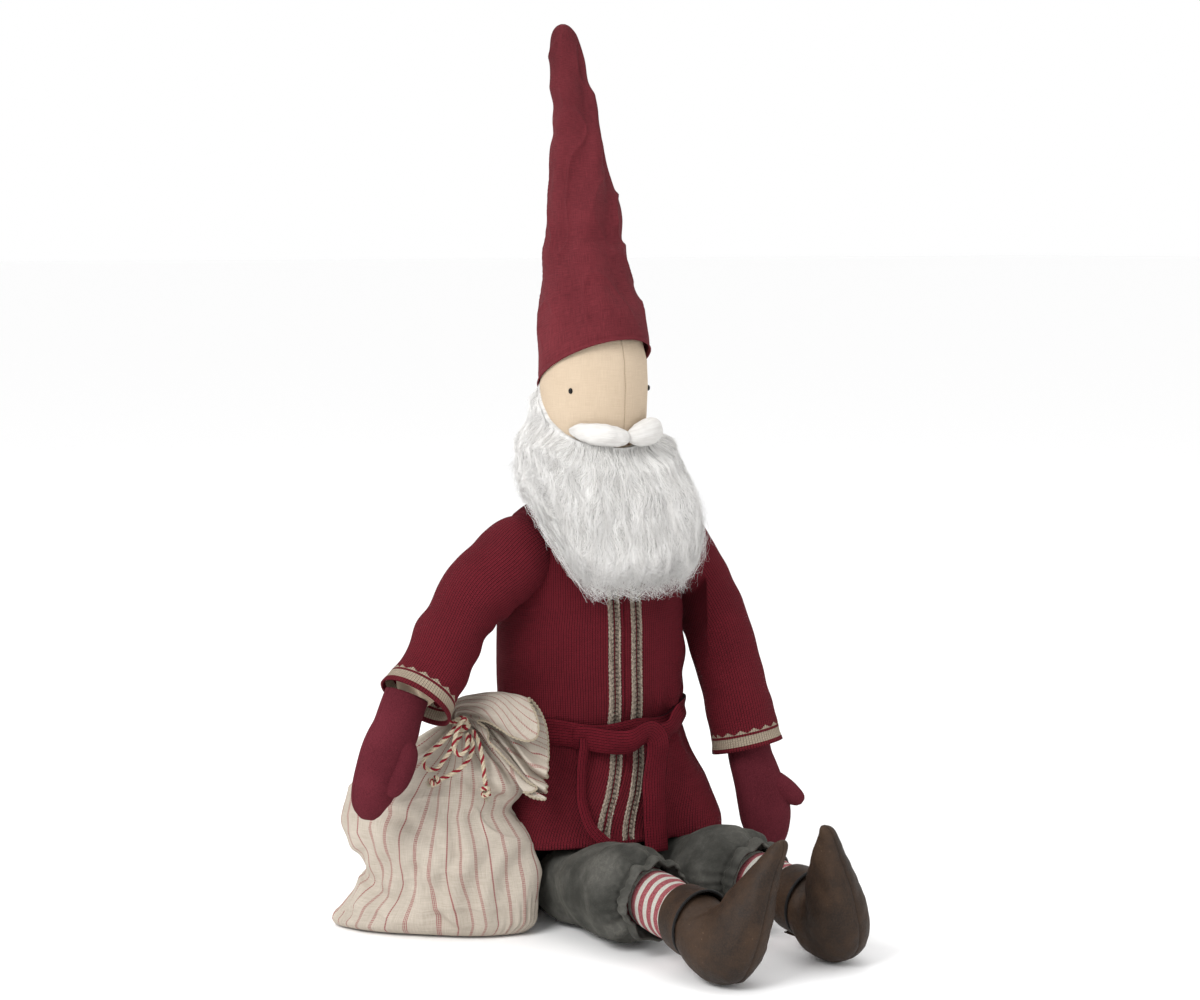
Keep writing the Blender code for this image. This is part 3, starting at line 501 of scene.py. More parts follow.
def crochet():
    """Marled grey-beige yarn; the middle of the band is painted darker and its stitch holes near black, as painted
    shade in the holes.
    """
    look = Look("crochet_band", 0.95, sheen=0.05, specular=0.08)
    u, v = look.uv()
    marl = look.noise(look.stretched(look.place(), (1.0, 1.0, 0.35)), 900.0, 2.0, 0.7)
    off = look.size(u)
    edge = look.ramp(off, 0.0006, 0.0050)
    base = look.mix(look.ramp(marl, 0.32, 0.70), rgb(98, 86, 76), rgb(170, 158, 143))
    # painted shade: a darker yarn colour for the middle of the band, where its holes are
    middle = look.mix(look.ramp(marl, 0.38, 0.72), rgb(72, 60, 53), rgb(138, 125, 112))
    stitch = look.sine(v * (TAU / STITCH) + off * 600.0)
    colour = look.mix(edge, middle, base)
    # painted shade: the stitch holes are painted near black
    hole_shade = look.ramp(stitch, 0.1, -0.9) * look.ramp(off, 0.005, 0.0016)
    colour = look.mix(hole_shade * 0.75, colour, rgb(30, 22, 20))
    look.bump(marl, 0.0008)
    return look.done(colour)


COAT_RED = (rgb(23, 6, 10), rgb(112, 33, 43))
IVORY = (rgb(100, 89, 77), rgb(172, 158, 139))
LOOKS = {
    "coat": knit("coat_stocking_knit", *COAT_RED, 0.0028, 0.0022),
    "sleeve": knit("sleeve_stocking_knit", *COAT_RED, 0.0028, 0.0022, border=(*IVORY, 0.0140)),
    "belt": knit("belt_rib_knit", rgb(32, 4, 10), rgb(108, 28, 39), 0.0026, 0.0026),
    "hat": linen("washed_red_linen", rgb(74, 25, 31), rgb(118, 46, 53), 0.0011),
    "sack": linen("striped_sack_linen", rgb(162, 152, 139), rgb(202, 192, 179), 0.0012,
                  stripe=(rgb(132, 34, 48), 0.49 / 10)),
    "sack_hem": linen("sack_linen_edge", rgb(132, 120, 102), rgb(184, 172, 152), 0.0012),
    "calico": linen("face_calico", rgb(199, 178, 153), rgb(217, 198, 174), 0.0006),
    "seam": plain("seam_thread", rgb(120, 100, 78), rgb(150, 130, 104), 0.9, 2500.0),
    "mitten": felt("burgundy_felt", rgb(60, 19, 26), rgb(102, 41, 50)),
    "velvet": velvet(),
    "leather": leather(),
    "edge": plain("black_edge", rgb(8, 7, 7), rgb(22, 20, 19), 0.6, 500.0),
    "sock": striped_sock(),
    # the beard's body is painted darker than its strands, so that the gaps between the strands show painted shade
    "wool": wool("combed_wool_shade_darkened", rgb(184, 182, 179), rgb(222, 221, 219)),
    "strand": wool("wool_strand", rgb(224, 222, 219), rgb(247, 246, 244)),
    "felted": wool("felted_wool", rgb(200, 197, 193), rgb(220, 218, 215)),
    "bead": plain("black_bead", rgb(8, 6, 6), rgb(16, 12, 12), 0.25, 200.0, 0.00002),
    "thread": plain("brown_line", rgb(78, 52, 40), rgb(112, 82, 64), 0.9, 2500.0),
    "band": crochet(),
    "cord_pale": plain("cream_cord_ply", rgb(150, 136, 112), rgb(200, 188, 166), 0.92, 1300.0),
    "cord_red": plain("red_cord_ply", rgb(88, 12, 24), rgb(150, 30, 44), 0.92, 1300.0),
    "filling": plain("loose_filling", rgb(222, 220, 214), rgb(240, 238, 232), 1.0, 300.0, 0.001),
    "pellets": plain("pellet_cloth", rgb(190, 188, 180), rgb(214, 212, 204), 0.9, 600.0),
}


# ---------------------------------------------------------------- camera, floor and light

TOWARD = np.array((-0.574, -0.819, 0.0))    # from the doll to the camera
CAMERA_AWAY = 2.6
CAMERA_HEIGHT = 0.67
camera_data = bpy.data.cameras.new("camera")
camera_data.sensor_width = 36.0
camera_data.lens = 78.0
camera_data.shift_x = 0.005
camera_data.shift_y = -0.2208
camera = in_scene("camera", camera_data)
camera.location = Vector(AXIS + TOWARD * CAMERA_AWAY) + Vector((0, 0, CAMERA_HEIGHT))
camera.rotation_euler = Vector(-TOWARD).to_track_quat("-Z", "Y").to_euler()
bpy.context.scene.camera = camera

floor_mesh = bpy.data.meshes.new("floor")
floor_mesh.from_pydata([(-60, -60, 0), (60, -60, 0), (60, 60, 0), (-60, 60, 0)], [], [(0, 1, 2, 3)])
floor = in_scene("floor", floor_mesh)
floor_look = Look("pale_floor", 0.9, specular=0.1)
floor_look.shader.inputs["Base Color"].default_value = (0.98, 0.98, 0.98, 1.0)
floor_mesh.materials.append(floor_look.done())

world = bpy.data.worlds.new("studio")
world.use_nodes = True
background = world.node_tree.nodes["Background"].inputs
background["Color"].default_value = (1.0, 1.0, 1.0, 1.0)
background["Strength"].default_value = 1.0
bpy.context.scene.world = world
bpy.context.scene.view_settings.view_transform = "Standard"


def area_light(name, offset, target, size, power):
    """A square soft light; offset is from the torso's axis."""
    data = bpy.data.lights.new(name, "AREA")
    data.size = size
    data.energy = power
    item = in_scene(name, data)
    item.location = Vector(AXIS) + Vector(offset)
    item.rotation_euler = (Vector(target) - Vector(offset)).to_track_quat("-Z", "Y").to_euler()


area_light("key_light", (-2.3, -0.9, 2.0), (0, 0, 0.35), 1.3, 58.0)
area_light("fill_light", (0.9, -2.6, 1.3), (0, 0, 0.4), 2.0, 2.0)
area_light("top_light", (0.2, 0.3, 2.6), (0, 0, 0.3), 1.6, 12.0)


# ---------------------------------------------------------------- drawcord

CORD_DIAMETER = 0.0046
CORD_PITCH = 0.0125         # one full twist
ROUTES = {
    "drawcord_loop_big": millimetres([
        (-179, -33, 203), (-185, -39, 205.5), (-193, -38.5, 198.5), (-200, -32.5, 189.5), (-208, -25, 180),
        (-212, -21, 171), (-208, -23, 164), (-201, -28, 165), (-195, -34, 176), (-188, -39, 188),
        (-179.5, -36.5, 196.5)]),
    "drawcord_loop_small": millimetres([
        (-174, -35, 207), (-180, -43, 212), (-187, -45.5, 207), (-191.5, -45, 196), (-192, -44, 185),
        (-187, -46.5, 179), (-180, -48, 186), (-173.5, -37.5, 196.5)]),
    "drawcord_tail_left": millimetres([
        (-170, -34.5, 194.5), (-170, -42, 186), (-174, -43, 175), (-182, -40, 165), (-192, -36, 159),
        (-200, -32, 155)]),
    "drawcord_tail_right": millimetres([
        (-164, -32.5, 197.5), (-162.5, -40, 188.5), (-162, -45.5, 176), (-162, -49, 162), (-162, -51.5, 148)]),
}


def twisted(path, diameter, pitch, closed=False, plies=3, count=8):
    """Vertices, faces and ply numbers of a cord of twisted plies along a path."""
    length = lengths(path)[-1]
    points = even(path, max(int(length / 0.0008), 12))
    forward = unit(np.gradient(points, axis=0))
    side = np.zeros_like(points)
    side[0] = unit(np.cross(forward[0], (0.3, 0.5, 0.8)))
    for index in range(1, len(points)):
        turned = side[index - 1] - forward[index] * np.dot(side[index - 1], forward[index])
        side[index] = unit(turned)
    other = np.cross(forward, side)
    rounds = round(length / pitch) if closed else length / pitch
    angle = TAU * rounds * np.linspace(0, length, len(points)) / length
    radius = diameter * 0.255
    offset = diameter / 2 - radius
    verts, faces, plies_of = [], [], []
    for ply in range(plies):
        turned = angle + TAU * ply / plies
        centre = points + offset * (side * np.cos(turned)[:, None] + other * np.sin(turned)[:, None])
        start = len(verts)
        verts += tube(centre, radius, radius, side, count).reshape(-1, 3).tolist()
        rings = [[start + row * count + column for column in range(count)] for row in range(len(points))]
        for low, high in zip(rings, rings[1:]):
            faces += [(low[k], low[k + 1 - count], high[k + 1 - count], high[k]) for k in range(count)]
        faces += [rings[0][::-1], rings[-1]]
        plies_of += [ply] * (len(faces) - len(plies_of))
    return verts, faces, plies_of, points


def cord_piece(name, verts, faces, plies, replaces):
    """A finished piece of cord, whose third ply is red."""
    mesh = mesh_of(name, verts, faces)
    item = place(name, mesh, "cord_pale cord_red", "bag", "cord", replaces)
    mesh.polygons.foreach_set("material_index", [int(ply == 2) for ply in plies])
    return item


def end_knot(name, centre, radius, axis, replaces, tuft):
    """A small overhand knot: three turns of the cord round itself, and a frayed tuft where one is asked for."""
    centre, axis = np.array(centre), unit(np.array(axis, float))
    side = unit(np.cross(axis, (0.2, 0.9, 0.1)))
    other = np.cross(axis, side)
    turn = np.linspace(0, 2.6 * TAU, 60)
    round_it = side * np.cos(turn)[:, None] + other * np.sin(turn)[:, None]
    path = centre + radius * (0.52 * round_it + 0.62 * axis * np.sin(turn * 0.55)[:, None])
    verts, faces, plies, _ = twisted(path + AXIS, radius * 0.85, 0.007)
    if tuft:
        draw = np.random.default_rng(5)
        for _ in range(46):
            out = unit(axis + (draw.random(3) - 0.5) * 0.9)
            root = centre + AXIS + axis * radius * 0.6 + (draw.random(3) - 0.5) * radius * 0.7
            end = root + out * radius * (0.7 + 0.8 * draw.random())
            thin = unit(np.cross(out, draw.random(3))) * 0.00022
            thick = np.cross(out, thin)
            start = len(verts)
            for corner in (root + thin, root - thin * 0.5 + thick * 0.87, root - thin * 0.5 - thick * 0.87, end):
                verts.append(corner.tolist())
            for face in ((0, 1, 3), (1, 2, 3), (2, 0, 3), (2, 1, 0)):
                faces.append(tuple(start + corner for corner in face))
                plies.append(0)
    return cord_piece(name, verts, faces, plies, replaces)


def make_drawcord():
    neck = np.array((-0.157, 0.000, 0.202))
    turn = np.linspace(0, TAU, 60)
    ring = neck + np.stack((np.cos(turn), np.sin(turn), 0 * turn), axis=1) * (0.0152 + CORD_DIAMETER / 2)
    ring[:, 2] += 0.0012 * np.sin(turn * 2)
    verts, faces, plies, _ = twisted(ring + AXIS, CORD_DIAMETER, CORD_PITCH, closed=True)
    cord_piece("drawcord_wrap_twist", verts, faces, plies, ("drawcord_wrap",))
    end_knot("drawcord_bow_knot", (-0.1707, -0.0246, 0.2030), 0.0078, (0.2, -0.5, -0.8), ("drawcord_knot",),
             tuft=False)
    knots = {
        "drawcord_tail_left": end_knot("tail_knot_left_twist", (-0.2045, -0.0290, 0.1535), 0.0055,
                                       (-0.9, 0.3, -0.4), ("tail_knot_left",), tuft=True),
        "drawcord_tail_right": end_knot("tail_knot_right_twist", (-0.1617, -0.0519, 0.1423), 0.0055,
                                        (0.1, -0.2, -1.0), ("tail_knot_right",), tuft=True),
    }
    for node, route in ROUTES.items():
        verts, faces, plies, points = twisted(spline(route, 10) + AXIS, CORD_DIAMETER, CORD_PITCH)
        item = cord_piece(node + "_twist", verts, faces, plies, (node,))


make_drawcord()


# ---------------------------------------------------------------- coat

# (height, half width, half depth, middle y) of the coat's outer face
COAT = millimetres([
    (30, 118, 84, 5), (50, 120, 85, 1), (84, 121.5, 85, -3), (125, 114, 78, -2), (160, 105, 68, 1), (185, 100, 63, 2),
    (215, 103, 65, 3), (250, 105, 65, 4), (285, 105.5, 65, 4), (310, 100, 63, 4), (350, 98, 59, 5),
    (380, 96.5, 52, 5), (394, 90, 46, 4), (402, 78, 42, 3), (408, 60, 38, 2), (413, 42, 34, 1), (418, 34.5, 31, 0)])
COAT_TOP = COAT[-1, 0]
COAT_DEPTH = 0.085              # half depth of its skirt
COAT_CLEAR = 0.1074             # x past which the sleeves hang outside it
COAT_LOW = (0.084, 0.036)       # height of the hem in front and behind
COAT_AROUND = 0.640             # of the knitted tube
KNIT_THICK = 0.0022
BELT_MIDDLE = 0.185


def coat_measures(height):
    return [np.interp(height, COAT[:, 0], COAT[:, k]) for k in (1, 2, 3)]


def swing(height):
    """How far the coat's front is dragged towards the doll's right, more so down the skirt."""
    return 0.0045 + 0.0290 * smooth(height, 0.176, 0.080)


def swing_angle(height):
    return np.degrees(swing(height) / COAT_DEPTH)


def coat_surface(angle, height):
    """Points of the coat's plain outer face; angles are in degrees from the front, towards the doll's left."""
    wide, deep, middle = coat_measures(height)
    turn = np.radians(angle)
    return np.stack((wide * np.sin(turn), middle - deep * np.cos(turn), height + 0 * turn), axis=-1)


def make_coat():
    columns, rows = 260, 150
    angle = np.linspace(0.35, 359.65, columns)
    from_front = np.abs((angle + 180) % 360 - 180)
    hem = COAT_LOW[0] - 0.004 + (COAT_LOW[1] - COAT_LOW[0]) * smooth(from_front, 40, 82)
    hem += 0.0016 * np.sin(np.radians(angle) * 5 + 0.7) * smooth(from_front, 6, 30)
    share = np.linspace(0, 1, rows)[:, None]
    height = hem[None, :] + (COAT_TOP - hem[None, :]) * share
    drag = swing_angle(height) * smooth(height, 0.400, 0.340)
    angles = angle[None, :] - drag * smooth(from_front, 178, 120)[None, :]
    grid = coat_surface(angles, height)
    out = normals(grid, False)
    near_opening = smooth(from_front, 12, 30)[None, :]
    near_neck = smooth(height, 0.400, 0.380)
    # deep soft folds below the belt, small gathers around it, and a few slack folds across the body
    turn = np.radians(angles)
    skirt = smooth(height, 0.172, 0.090)
    push = 0.0030 * skirt * np.sin(turn * 9 + 1.6 * np.sin(turn * 2 + 0.5)) * near_opening
    gather = bell(height, BELT_MIDDLE + 0.020, 0.016) + bell(height, BELT_MIDDLE - 0.022, 0.020)
    push += 0.0013 * gather * np.sin(turn * 27 + 3 * np.sin(turn * 4)) * near_opening
    push += 0.0018 * cloud(grid, (0.045, 0.045, 0.110), 3.0) * near_opening * near_neck
    push += 0.0005 * cloud(grid, (0.020, 0.020, 0.028), 9.0) * near_opening * near_neck
    # the skirt spreads on the doll's left, away from the sack
    push += (0.0150 * skirt + 0.0100 * smooth(height, 0.110, 0.030)) * bell(angles, 62, 27)
    side = bell(from_front, 72, 22)[None, :] * smooth(height, 0.205, 0.235) * smooth(height, 0.345, 0.300)
    push += 0.0016 * side * np.sin((height - 0.21) * 115 + 0.05 * angles)
    push -= 0.0022 * bell(height, BELT_MIDDLE, 0.016)
    # the two front edges roll a little way out, and the hem curls
    push += 0.0010 * bell(from_front, 0, 1.6)[None, :]
    push += 0.0016 * smooth(share, 0.035, 0.0)
    grid = grid + out * push[..., None]
    skin("coat", grid, "coat", "doll", "coat_knit", closed=False,
         uv=uv_grid((angle / 360 * COAT_AROUND)[None, :], height), thick=KNIT_THICK,
         replaces=("coat_back", "coat_front_left", "coat_front_right"))

    # the opening's dark lining, so that no torso cloth shows through it
    heights = np.linspace(*FACING_SPAN, 60)
    strip = [coat_surface(offset - swing_angle(heights), heights) + np.array((0, 0.0036, 0))
             for offset in (-4.0, 0.0, 4.0)]
    skin("coat_facing", np.stack(strip, axis=1), "coat", "doll", "coat_knit", closed=False, thick=0.0008)


BAND_MIDDLE = 0.0130
BAND_HALF = 0.0068
BAND_SPAN = (0.0845, 0.384)     # heights of both ends
FACING_SPAN = (0.088, 0.350)


def arch(off, centre, half):
    return np.sqrt(np.clip(1 - ((off - centre) / half) ** 2, 0, 1))


def make_bands():
    """Crochet bands: two chained edges, slanting stitches, and a sunken middle, whose holes are painted dark as
    painted shade.
    """
    height = np.linspace(*BAND_SPAN, 420)[:, None]
    across = np.linspace(-1, 1, 33)[None, :]
    wide, deep, middle = coat_measures(height)
    fall = smooth(height, BELT_MIDDLE + 0.016, BELT_MIDDLE) * smooth(height, BELT_MIDDLE - 0.03, BELT_MIDDLE)
    along = height / STITCH
    off = np.abs(across)
    edge = arch(off, 0.82, 0.20) * (0.75 + 0.25 * np.sin(TAU * (along * 1.5 + off)))
    inner = arch(off, 0.38, 0.30) * (0.60 + 0.40 * np.abs(np.sin(TAU / 2 * (along * 2 + off * 2.2))))
    lift = 0.0022 * np.maximum(edge, inner * 0.85) + 0.0007
    lift -= 0.0009 * bell(off, 0, 0.12) * (0.5 + 0.5 * np.sin(TAU * along))
    wobble = 0.0003 * np.sin(along * TAU) * across ** 3
    for side, word in SIDES:
        x = side * BAND_MIDDLE - swing(height) + across * BAND_HALF + wobble
        y = middle - deep * np.sqrt(1 - (x / wide) ** 2) - lift + 0.0010 + 0.0016 * fall
        y[:, (0, -1)] += 0.0016
        skin("front_band_crochet_" + word, np.stack((x, y, height + 0 * x), axis=2), "band", "doll",
             "band_wool", closed=False, uv=uv_grid(across * BAND_HALF, height), thick=0.0006,
             replaces=("front_band_" + word,))


def ribbon(name, path, wide, out, bow, seed, replaces=()):
    """A knitted strip of the sash along a path; wide holds each row's width vector and out its outward direction."""
    across = np.linspace(-1, 1, 25)[None, :]
    grid = path[:, None, :] + wide[:, None, :] * across[..., None] * 0.5
    lift = bow * (1 - across ** 2) + 0.0009 * cloud(grid, 0.022, seed)
    grid = grid + out[:, None, :] * lift[..., None]
    width = np.linalg.norm(wide, axis=1).mean()
    item = skin(name, grid, "belt", "doll", "belt_knit", closed=False,
                uv=uv_grid((across + 1) / 2 * width, lengths(path)[:, None]), replaces=replaces)
    thicken(item, BELT_THICK, 0)
    return item


def ribbon_frame(stations, steps):
    """Path, width vectors and outward directions from rows of path, width direction and width."""
    rows = spline(stations, steps)
    path, wide = rows[:, :3], unit(rows[:, 3:6]) * rows[:, 6:7]
    out = unit(np.cross(np.gradient(path, axis=0), wide))
    return path, wide, out * np.where(out[:, 1:2] > 0, -1.0, 1.0)


BELT_WIDTH = 0.026
BELT_THICK = 0.0028
BELT_AROUND = 0.53


def make_belt():
    """A knitted sash: the part round the waist, its wrapped knot, and two hanging tails."""
    count = 220
    turn = turns(count)[0]
    wide, deep, middle = coat_measures(BELT_MIDDLE)
    front = smooth(np.cos(turn), 0.70, 0.95)
    reach = 0.0030 + 0.0034 * front
    left = smooth(np.sin(turn), 0.2, 0.95)
    rise = 0.006 * left + 0.004 * smooth(-np.sin(turn), 0.3, 1.0)
    rise -= 0.004 * bell(turn, 0.45, 0.25) + 0.003 * bell(turn, TAU - 0.35, 0.3)
    columns = 25
    across = np.linspace(-1, 1, columns)[:, None]
    z = BELT_MIDDLE + rise + across * BELT_WIDTH / 2 * (1 - 0.10 * front)
    bow = 0.0016 * (1 - across ** 2) + 0.0010 * np.sin(across * 4.4 + turn * 3)
    x = (wide + reach + bow) * np.sin(turn)
    y = middle - (deep + reach + bow) * np.cos(turn)
    grid = np.stack((x, y, z), axis=2)
    grid += normals(grid, True) * 0.0011 * cloud(grid, 0.024, 5.0)[..., None]
    uv = uv_grid(np.linspace(0, BELT_WIDTH, columns)[:, None], np.linspace(0, BELT_AROUND, count + 1)[None, :])
    skin("belt_sash", grid, "belt", "doll", "belt_knit", uv=uv, thick=BELT_THICK, replaces=("belt_band",))

    # the knot: the left part passes over the middle and turns down into the wide tail
    # rows of path, width direction and width
    over = [
        (-0.060, -0.0520, 0.1825, 0.00, 0.05, 1.00, 0.0200), (-0.048, -0.0640, 0.1815, 0.00, 0.05, 1.00, 0.0225),
        (-0.036, -0.0745, 0.1795, 0.00, 0.00, 1.00, 0.0225), (-0.022, -0.0800, 0.1780, -0.10, -0.10, 1.00, 0.0230),
        (-0.013, -0.0835, 0.1800, -0.20, -0.20, 0.95, 0.0230), (-0.004, -0.0860, 0.1850, -0.10, -0.10, 1.00, 0.0210),
        (0.005, -0.0870, 0.1865, 0.35, -0.10, 0.93, 0.0215), (0.0120, -0.0880, 0.1800, 0.80, -0.10, 0.60, 0.0235),
        (0.0135, -0.0885, 0.1690, 1.00, -0.10, 0.10, 0.0245), (0.0110, -0.0880, 0.1550, 1.00, 0.00, 0.05, 0.0255),
        (0.0080, -0.0895, 0.1350, 1.00, 0.00, 0.02, 0.0265), (0.0065, -0.0925, 0.1120, 1.00, 0.00, 0.00, 0.0265),
        (0.0055, -0.0955, 0.0920, 1.00, 0.00, 0.00, 0.0260), (0.0050, -0.0985, 0.0720, 1.00, 0.00, 0.00, 0.0255)]
    tail = ribbon("belt_knot_and_wide_tail", *ribbon_frame(over, 9), bow=0.0030, seed=2.0,
                  replaces=("belt_knot", "belt_tail_wide"))

    # the part that comes from the left hip and tucks under the knot
    under = [
        (0.060, -0.0610, 0.1925, 0.0, 0.0, 1.0, 0.0230), (0.046, -0.0700, 0.1880, 0.0, -0.1, 1.0, 0.0210),
        (0.034, -0.0765, 0.1840, 0.1, -0.2, 1.0, 0.0180), (0.020, -0.0790, 0.1830, 0.0, -0.2, 1.0, 0.0170),
        (0.004, -0.0800, 0.1840, 0.0, -0.1, 1.0, 0.0170),
    ]
    ribbon("belt_under_knot", *ribbon_frame(under, 8), bow=0.0025, seed=7.0)

    thin = [
        (-0.0560, -0.0620, 0.1820), (-0.0575, -0.0640, 0.1740), (-0.0615, -0.0665, 0.1580),
        (-0.0660, -0.0710, 0.1380), (-0.0665, -0.0755, 0.1200), (-0.0635, -0.0830, 0.1020),
        (-0.0540, -0.0915, 0.0890), (-0.0430, -0.0965, 0.0815), (-0.0370, -0.0985, 0.0790),
    ]
    path = spline(thin, 9)
    forward = unit(np.gradient(path, axis=0))
    out = np.tile(np.array((0.0, -1.0, 0.0)), (len(path), 1))
    tail = ribbon("belt_thin_tail", path, unit(np.cross(out, forward)) * 0.0100, out, bow=0.0012, seed=4.0,
                  replaces=("belt_tail_thin",))


make_coat()
make_bands()
make_belt()


# ---------------------------------------------------------------- sleeves and mittens

SLEEVES = {
    "right": millimetres([
        (-70, 3, 364, 30, 31), (-85, 1, 359, 38, 37), (-99, 0, 351, 39, 40), (-113, -2, 342, 37.5, 39),
        (-130, -4, 332.5, 36.8, 38), (-146, -6, 322.5, 35.8, 36.5), (-160, -9, 310, 33.5, 35),
        (-173, -13, 294, 32, 34), (-193, -20, 268, 31.5, 34), (-210, -25, 248, 34, 34), (-226, -29, 230, 37, 34)]),
    "left": millimetres([
        (70, 3, 366, 30, 31), (85, 1, 361, 41, 37), (97, 0, 350, 40, 41), (106, -3, 338, 37.5, 40),
        (116, -8, 322, 35.5, 38), (125, -14, 304, 34.5, 36.5), (132, -21, 284, 34, 35.5), (136, -28, 265, 33, 35),
        (140, -42, 225, 32.5, 34), (144, -53, 185, 34, 34), (148, -60, 152, 36, 34)]),
}
SLEEVE_AROUND = 0.0182 * 12
SLEEVE_STEPS = 14


def make_sleeve(word):
    stations = spline(SLEEVES[word], SLEEVE_STEPS)
    columns = 132
    grid = limb(stations, columns)
    out = outward(grid)
    walked = lengths(stations[:, :3])
    along, length = walked[:, None], walked[-1]
    turn = turns(columns)
    body = smooth(along, 0.035, 0.070) * smooth(along, length, length - 0.030)
    # folds lie across the arm, deepest on its inner side, and lean with the fabric; the bent arm has deeper ones
    fold, bends, seed = (0.0012, 0.0017, 7.5) if word == "right" else (0.0005, 0.0004, 4.0)
    inner = 0.35 + 0.65 * bell(turn % TAU - math.pi, 0.0, 1.1)
    lean = along * 190 + 1.1 * np.sin(turn) + 1.2 * cloud(grid, 0.07, 2.0)
    push = fold * body * inner * np.sin(lean)
    upper = smooth(out @ unit(np.array((-0.55, 0.0, 0.83))), -0.2, 0.8) * smooth(along, 0.075, 0.120)
    push += bends * body * upper * np.cos(TAU * (along - 0.148) / 0.066 + 0.9 * np.sin(turn))
    push += 0.0011 * body * cloud(grid, (0.060, 0.050, 0.034), seed)
    push += 0.0014 * smooth(along, length - 0.010, length)
    grid = grid + out * push[..., None]
    # past the shoulder the sleeve stays outside the coat
    clear = COAT_CLEAR * smooth(np.arange(len(stations)) / SLEEVE_STEPS, 2.4, 4.2)[:, None]
    inside = np.abs(grid[..., 0]) < clear
    grid[..., 0] = np.where(inside, np.sign(grid[..., 0]) * clear, grid[..., 0])
    skin("sleeve_knit_" + word, grid, "sleeve", word + "_arm", "coat_knit",
         uv=around_uv(columns, SLEEVE_AROUND, length - along), thick=KNIT_THICK, replaces=("sleeve_" + word,))


# wrist to tip: x, y, z, radius across, radius along y
MITTENS = {
    "right": millimetres([
        (-232.8, -26.4, 236.8, 21.4, 19), (-242, -28.5, 219, 22.2, 19.2), (-247.5, -29.5, 207, 23.2, 19.5),
        (-253, -28.5, 196, 24, 19.8), (-257.2, -27, 185, 24.3, 19.8), (-261.2, -25, 172, 24.1, 19.2),
        (-264.5, -23, 160, 23.2, 18.6), (-267.2, -21.5, 149, 21.2, 17.2), (-269.2, -20, 139, 17.8, 14.8),
        (-270.2, -19, 130, 12.5, 10.8), (-271, -18.5, 124.5, 6.8, 6.2)]),
    "left": millimetres([
        (148.4, -61.5, 152, 22.5, 19), (149.6, -63.5, 140, 23.5, 19.2), (152, -66, 128, 25, 19.5),
        (154.5, -69, 116, 26.2, 20), (157, -71, 104, 27, 20.5), (159, -73, 93, 27.5, 20.5),
        (160.5, -74.2, 82, 27.5, 20), (161, -75.2, 71, 25.5, 18), (160.7, -76.2, 60, 21, 15),
        (160.2, -77, 51, 14, 10.5), (159.8, -77.5, 45.5, 7.5, 6)]),
}
THUMBS = {
    "right": millimetres([
        (-244, -40.5, 196, 8.5), (-244, -44, 186, 10.5), (-247, -44, 174, 11), (-252, -42, 162, 10.5),
        (-257, -39.5, 152, 8), (-259, -38.5, 147.5, 4.5)]),
    "left": millimetres([
        (160, -73.5, 121, 11), (169, -79, 114, 13), (178, -84.5, 107.5, 12.2), (185, -89, 102, 10),
        (190, -92.5, 98, 7), (192, -94, 96.2, 3.6)]),
}


def edge_seam(grid, out, deep, wide):
    """Press a seam into both flat edges of a closed tube."""
    ring = turns(grid.shape[1])
    edge = bell((ring + math.pi) % TAU - math.pi, 0, wide) + bell(ring, math.pi, wide)
    return grid - out * (deep * edge)[..., None]


def make_mitten(word):
    body = word + "_arm"
    grid = limb(spline(MITTENS[word], 12), 120, power=2.15)
    out = outward(grid)
    grid = grid + out * (0.0007 * cloud(grid, 0.034, 3.0))[..., None]
    skin("mitten_felt_" + word, edge_seam(grid, out, 0.0011, 0.035), "mitten", body, "mitten_felt",
         caps=True, replaces=("mitten_" + word,))
    stations = spline(THUMBS[word], 12)
    grid = tube(stations[:, :3], stations[:, 3], stations[:, 3] * 0.92, (0, 1, 0), 60)
    out = outward(grid)
    grid = grid + out * (0.0003 * cloud(grid, 0.020, 2.0))[..., None]
    skin("mitten_thumb_" + word, edge_seam(grid, out, 0.0009, 0.09), "mitten", body, "mitten_felt",
         caps=True)


def make_arm(word):
    """The stuffed calico arm; only its wrist shows between sleeve and mitten."""
    x, y, z = MITTENS[word][0][:3]
    stations = [(*row[:3], 0.0185, 0.0165) for row in SLEEVES[word][7:-1]]
    stations.append((x + 0.0020, y, z + 0.0015, 0.0200, 0.0178))
    grid = limb(spline(stations, 6), 48)
    out = outward(grid)
    grid = grid + out * (0.0008 * cloud(grid, 0.02, 1.0))[..., None]
    skin("arm_calico_" + word, grid, "calico", word + "_arm", "calico", caps=True,
         replaces=("arm_" + word,))


for _, word in SIDES:
    make_sleeve(word)
    make_mitten(word)
    make_arm(word)


# ---------------------------------------------------------------- head

HEAD = millimetres([
    (412, 25.5, 25.5), (420, 26, 26), (430, 31, 31), (440, 40, 39), (460, 48.5, 47), (475, 51.5, 50),
    (490, 53.5, 51.5), (520, 54.5, 53), (545, 53.5, 51.5), (565, 48.5, 47), (580, 39, 38), (590, 26, 25),
    (595, 10, 10)])


def head_surface(angle, height, out=0.0):
    """Points of the face; angles are in degrees from the front, towards the doll's left."""
    turn = np.radians(angle)
    wide = np.interp(height, HEAD[:, 0], HEAD[:, 1])
    deep = np.interp(height, HEAD[:, 0], HEAD[:, 2])
    reach = 1 / np.sqrt((np.sin(turn) / wide) ** 2 + (np.cos(turn) / deep) ** 2) + out
    # the two face panels meet in a slight keel down the middle
    off = (np.asarray(angle, float) + 180) % 360 - 180
    reach = reach + 0.0008 * np.exp(-(off / 20) ** 2) * smooth(height, 0.452, 0.475)
    return np.stack((reach * np.sin(turn), -reach * np.cos(turn), height + 0 * turn), axis=-1)


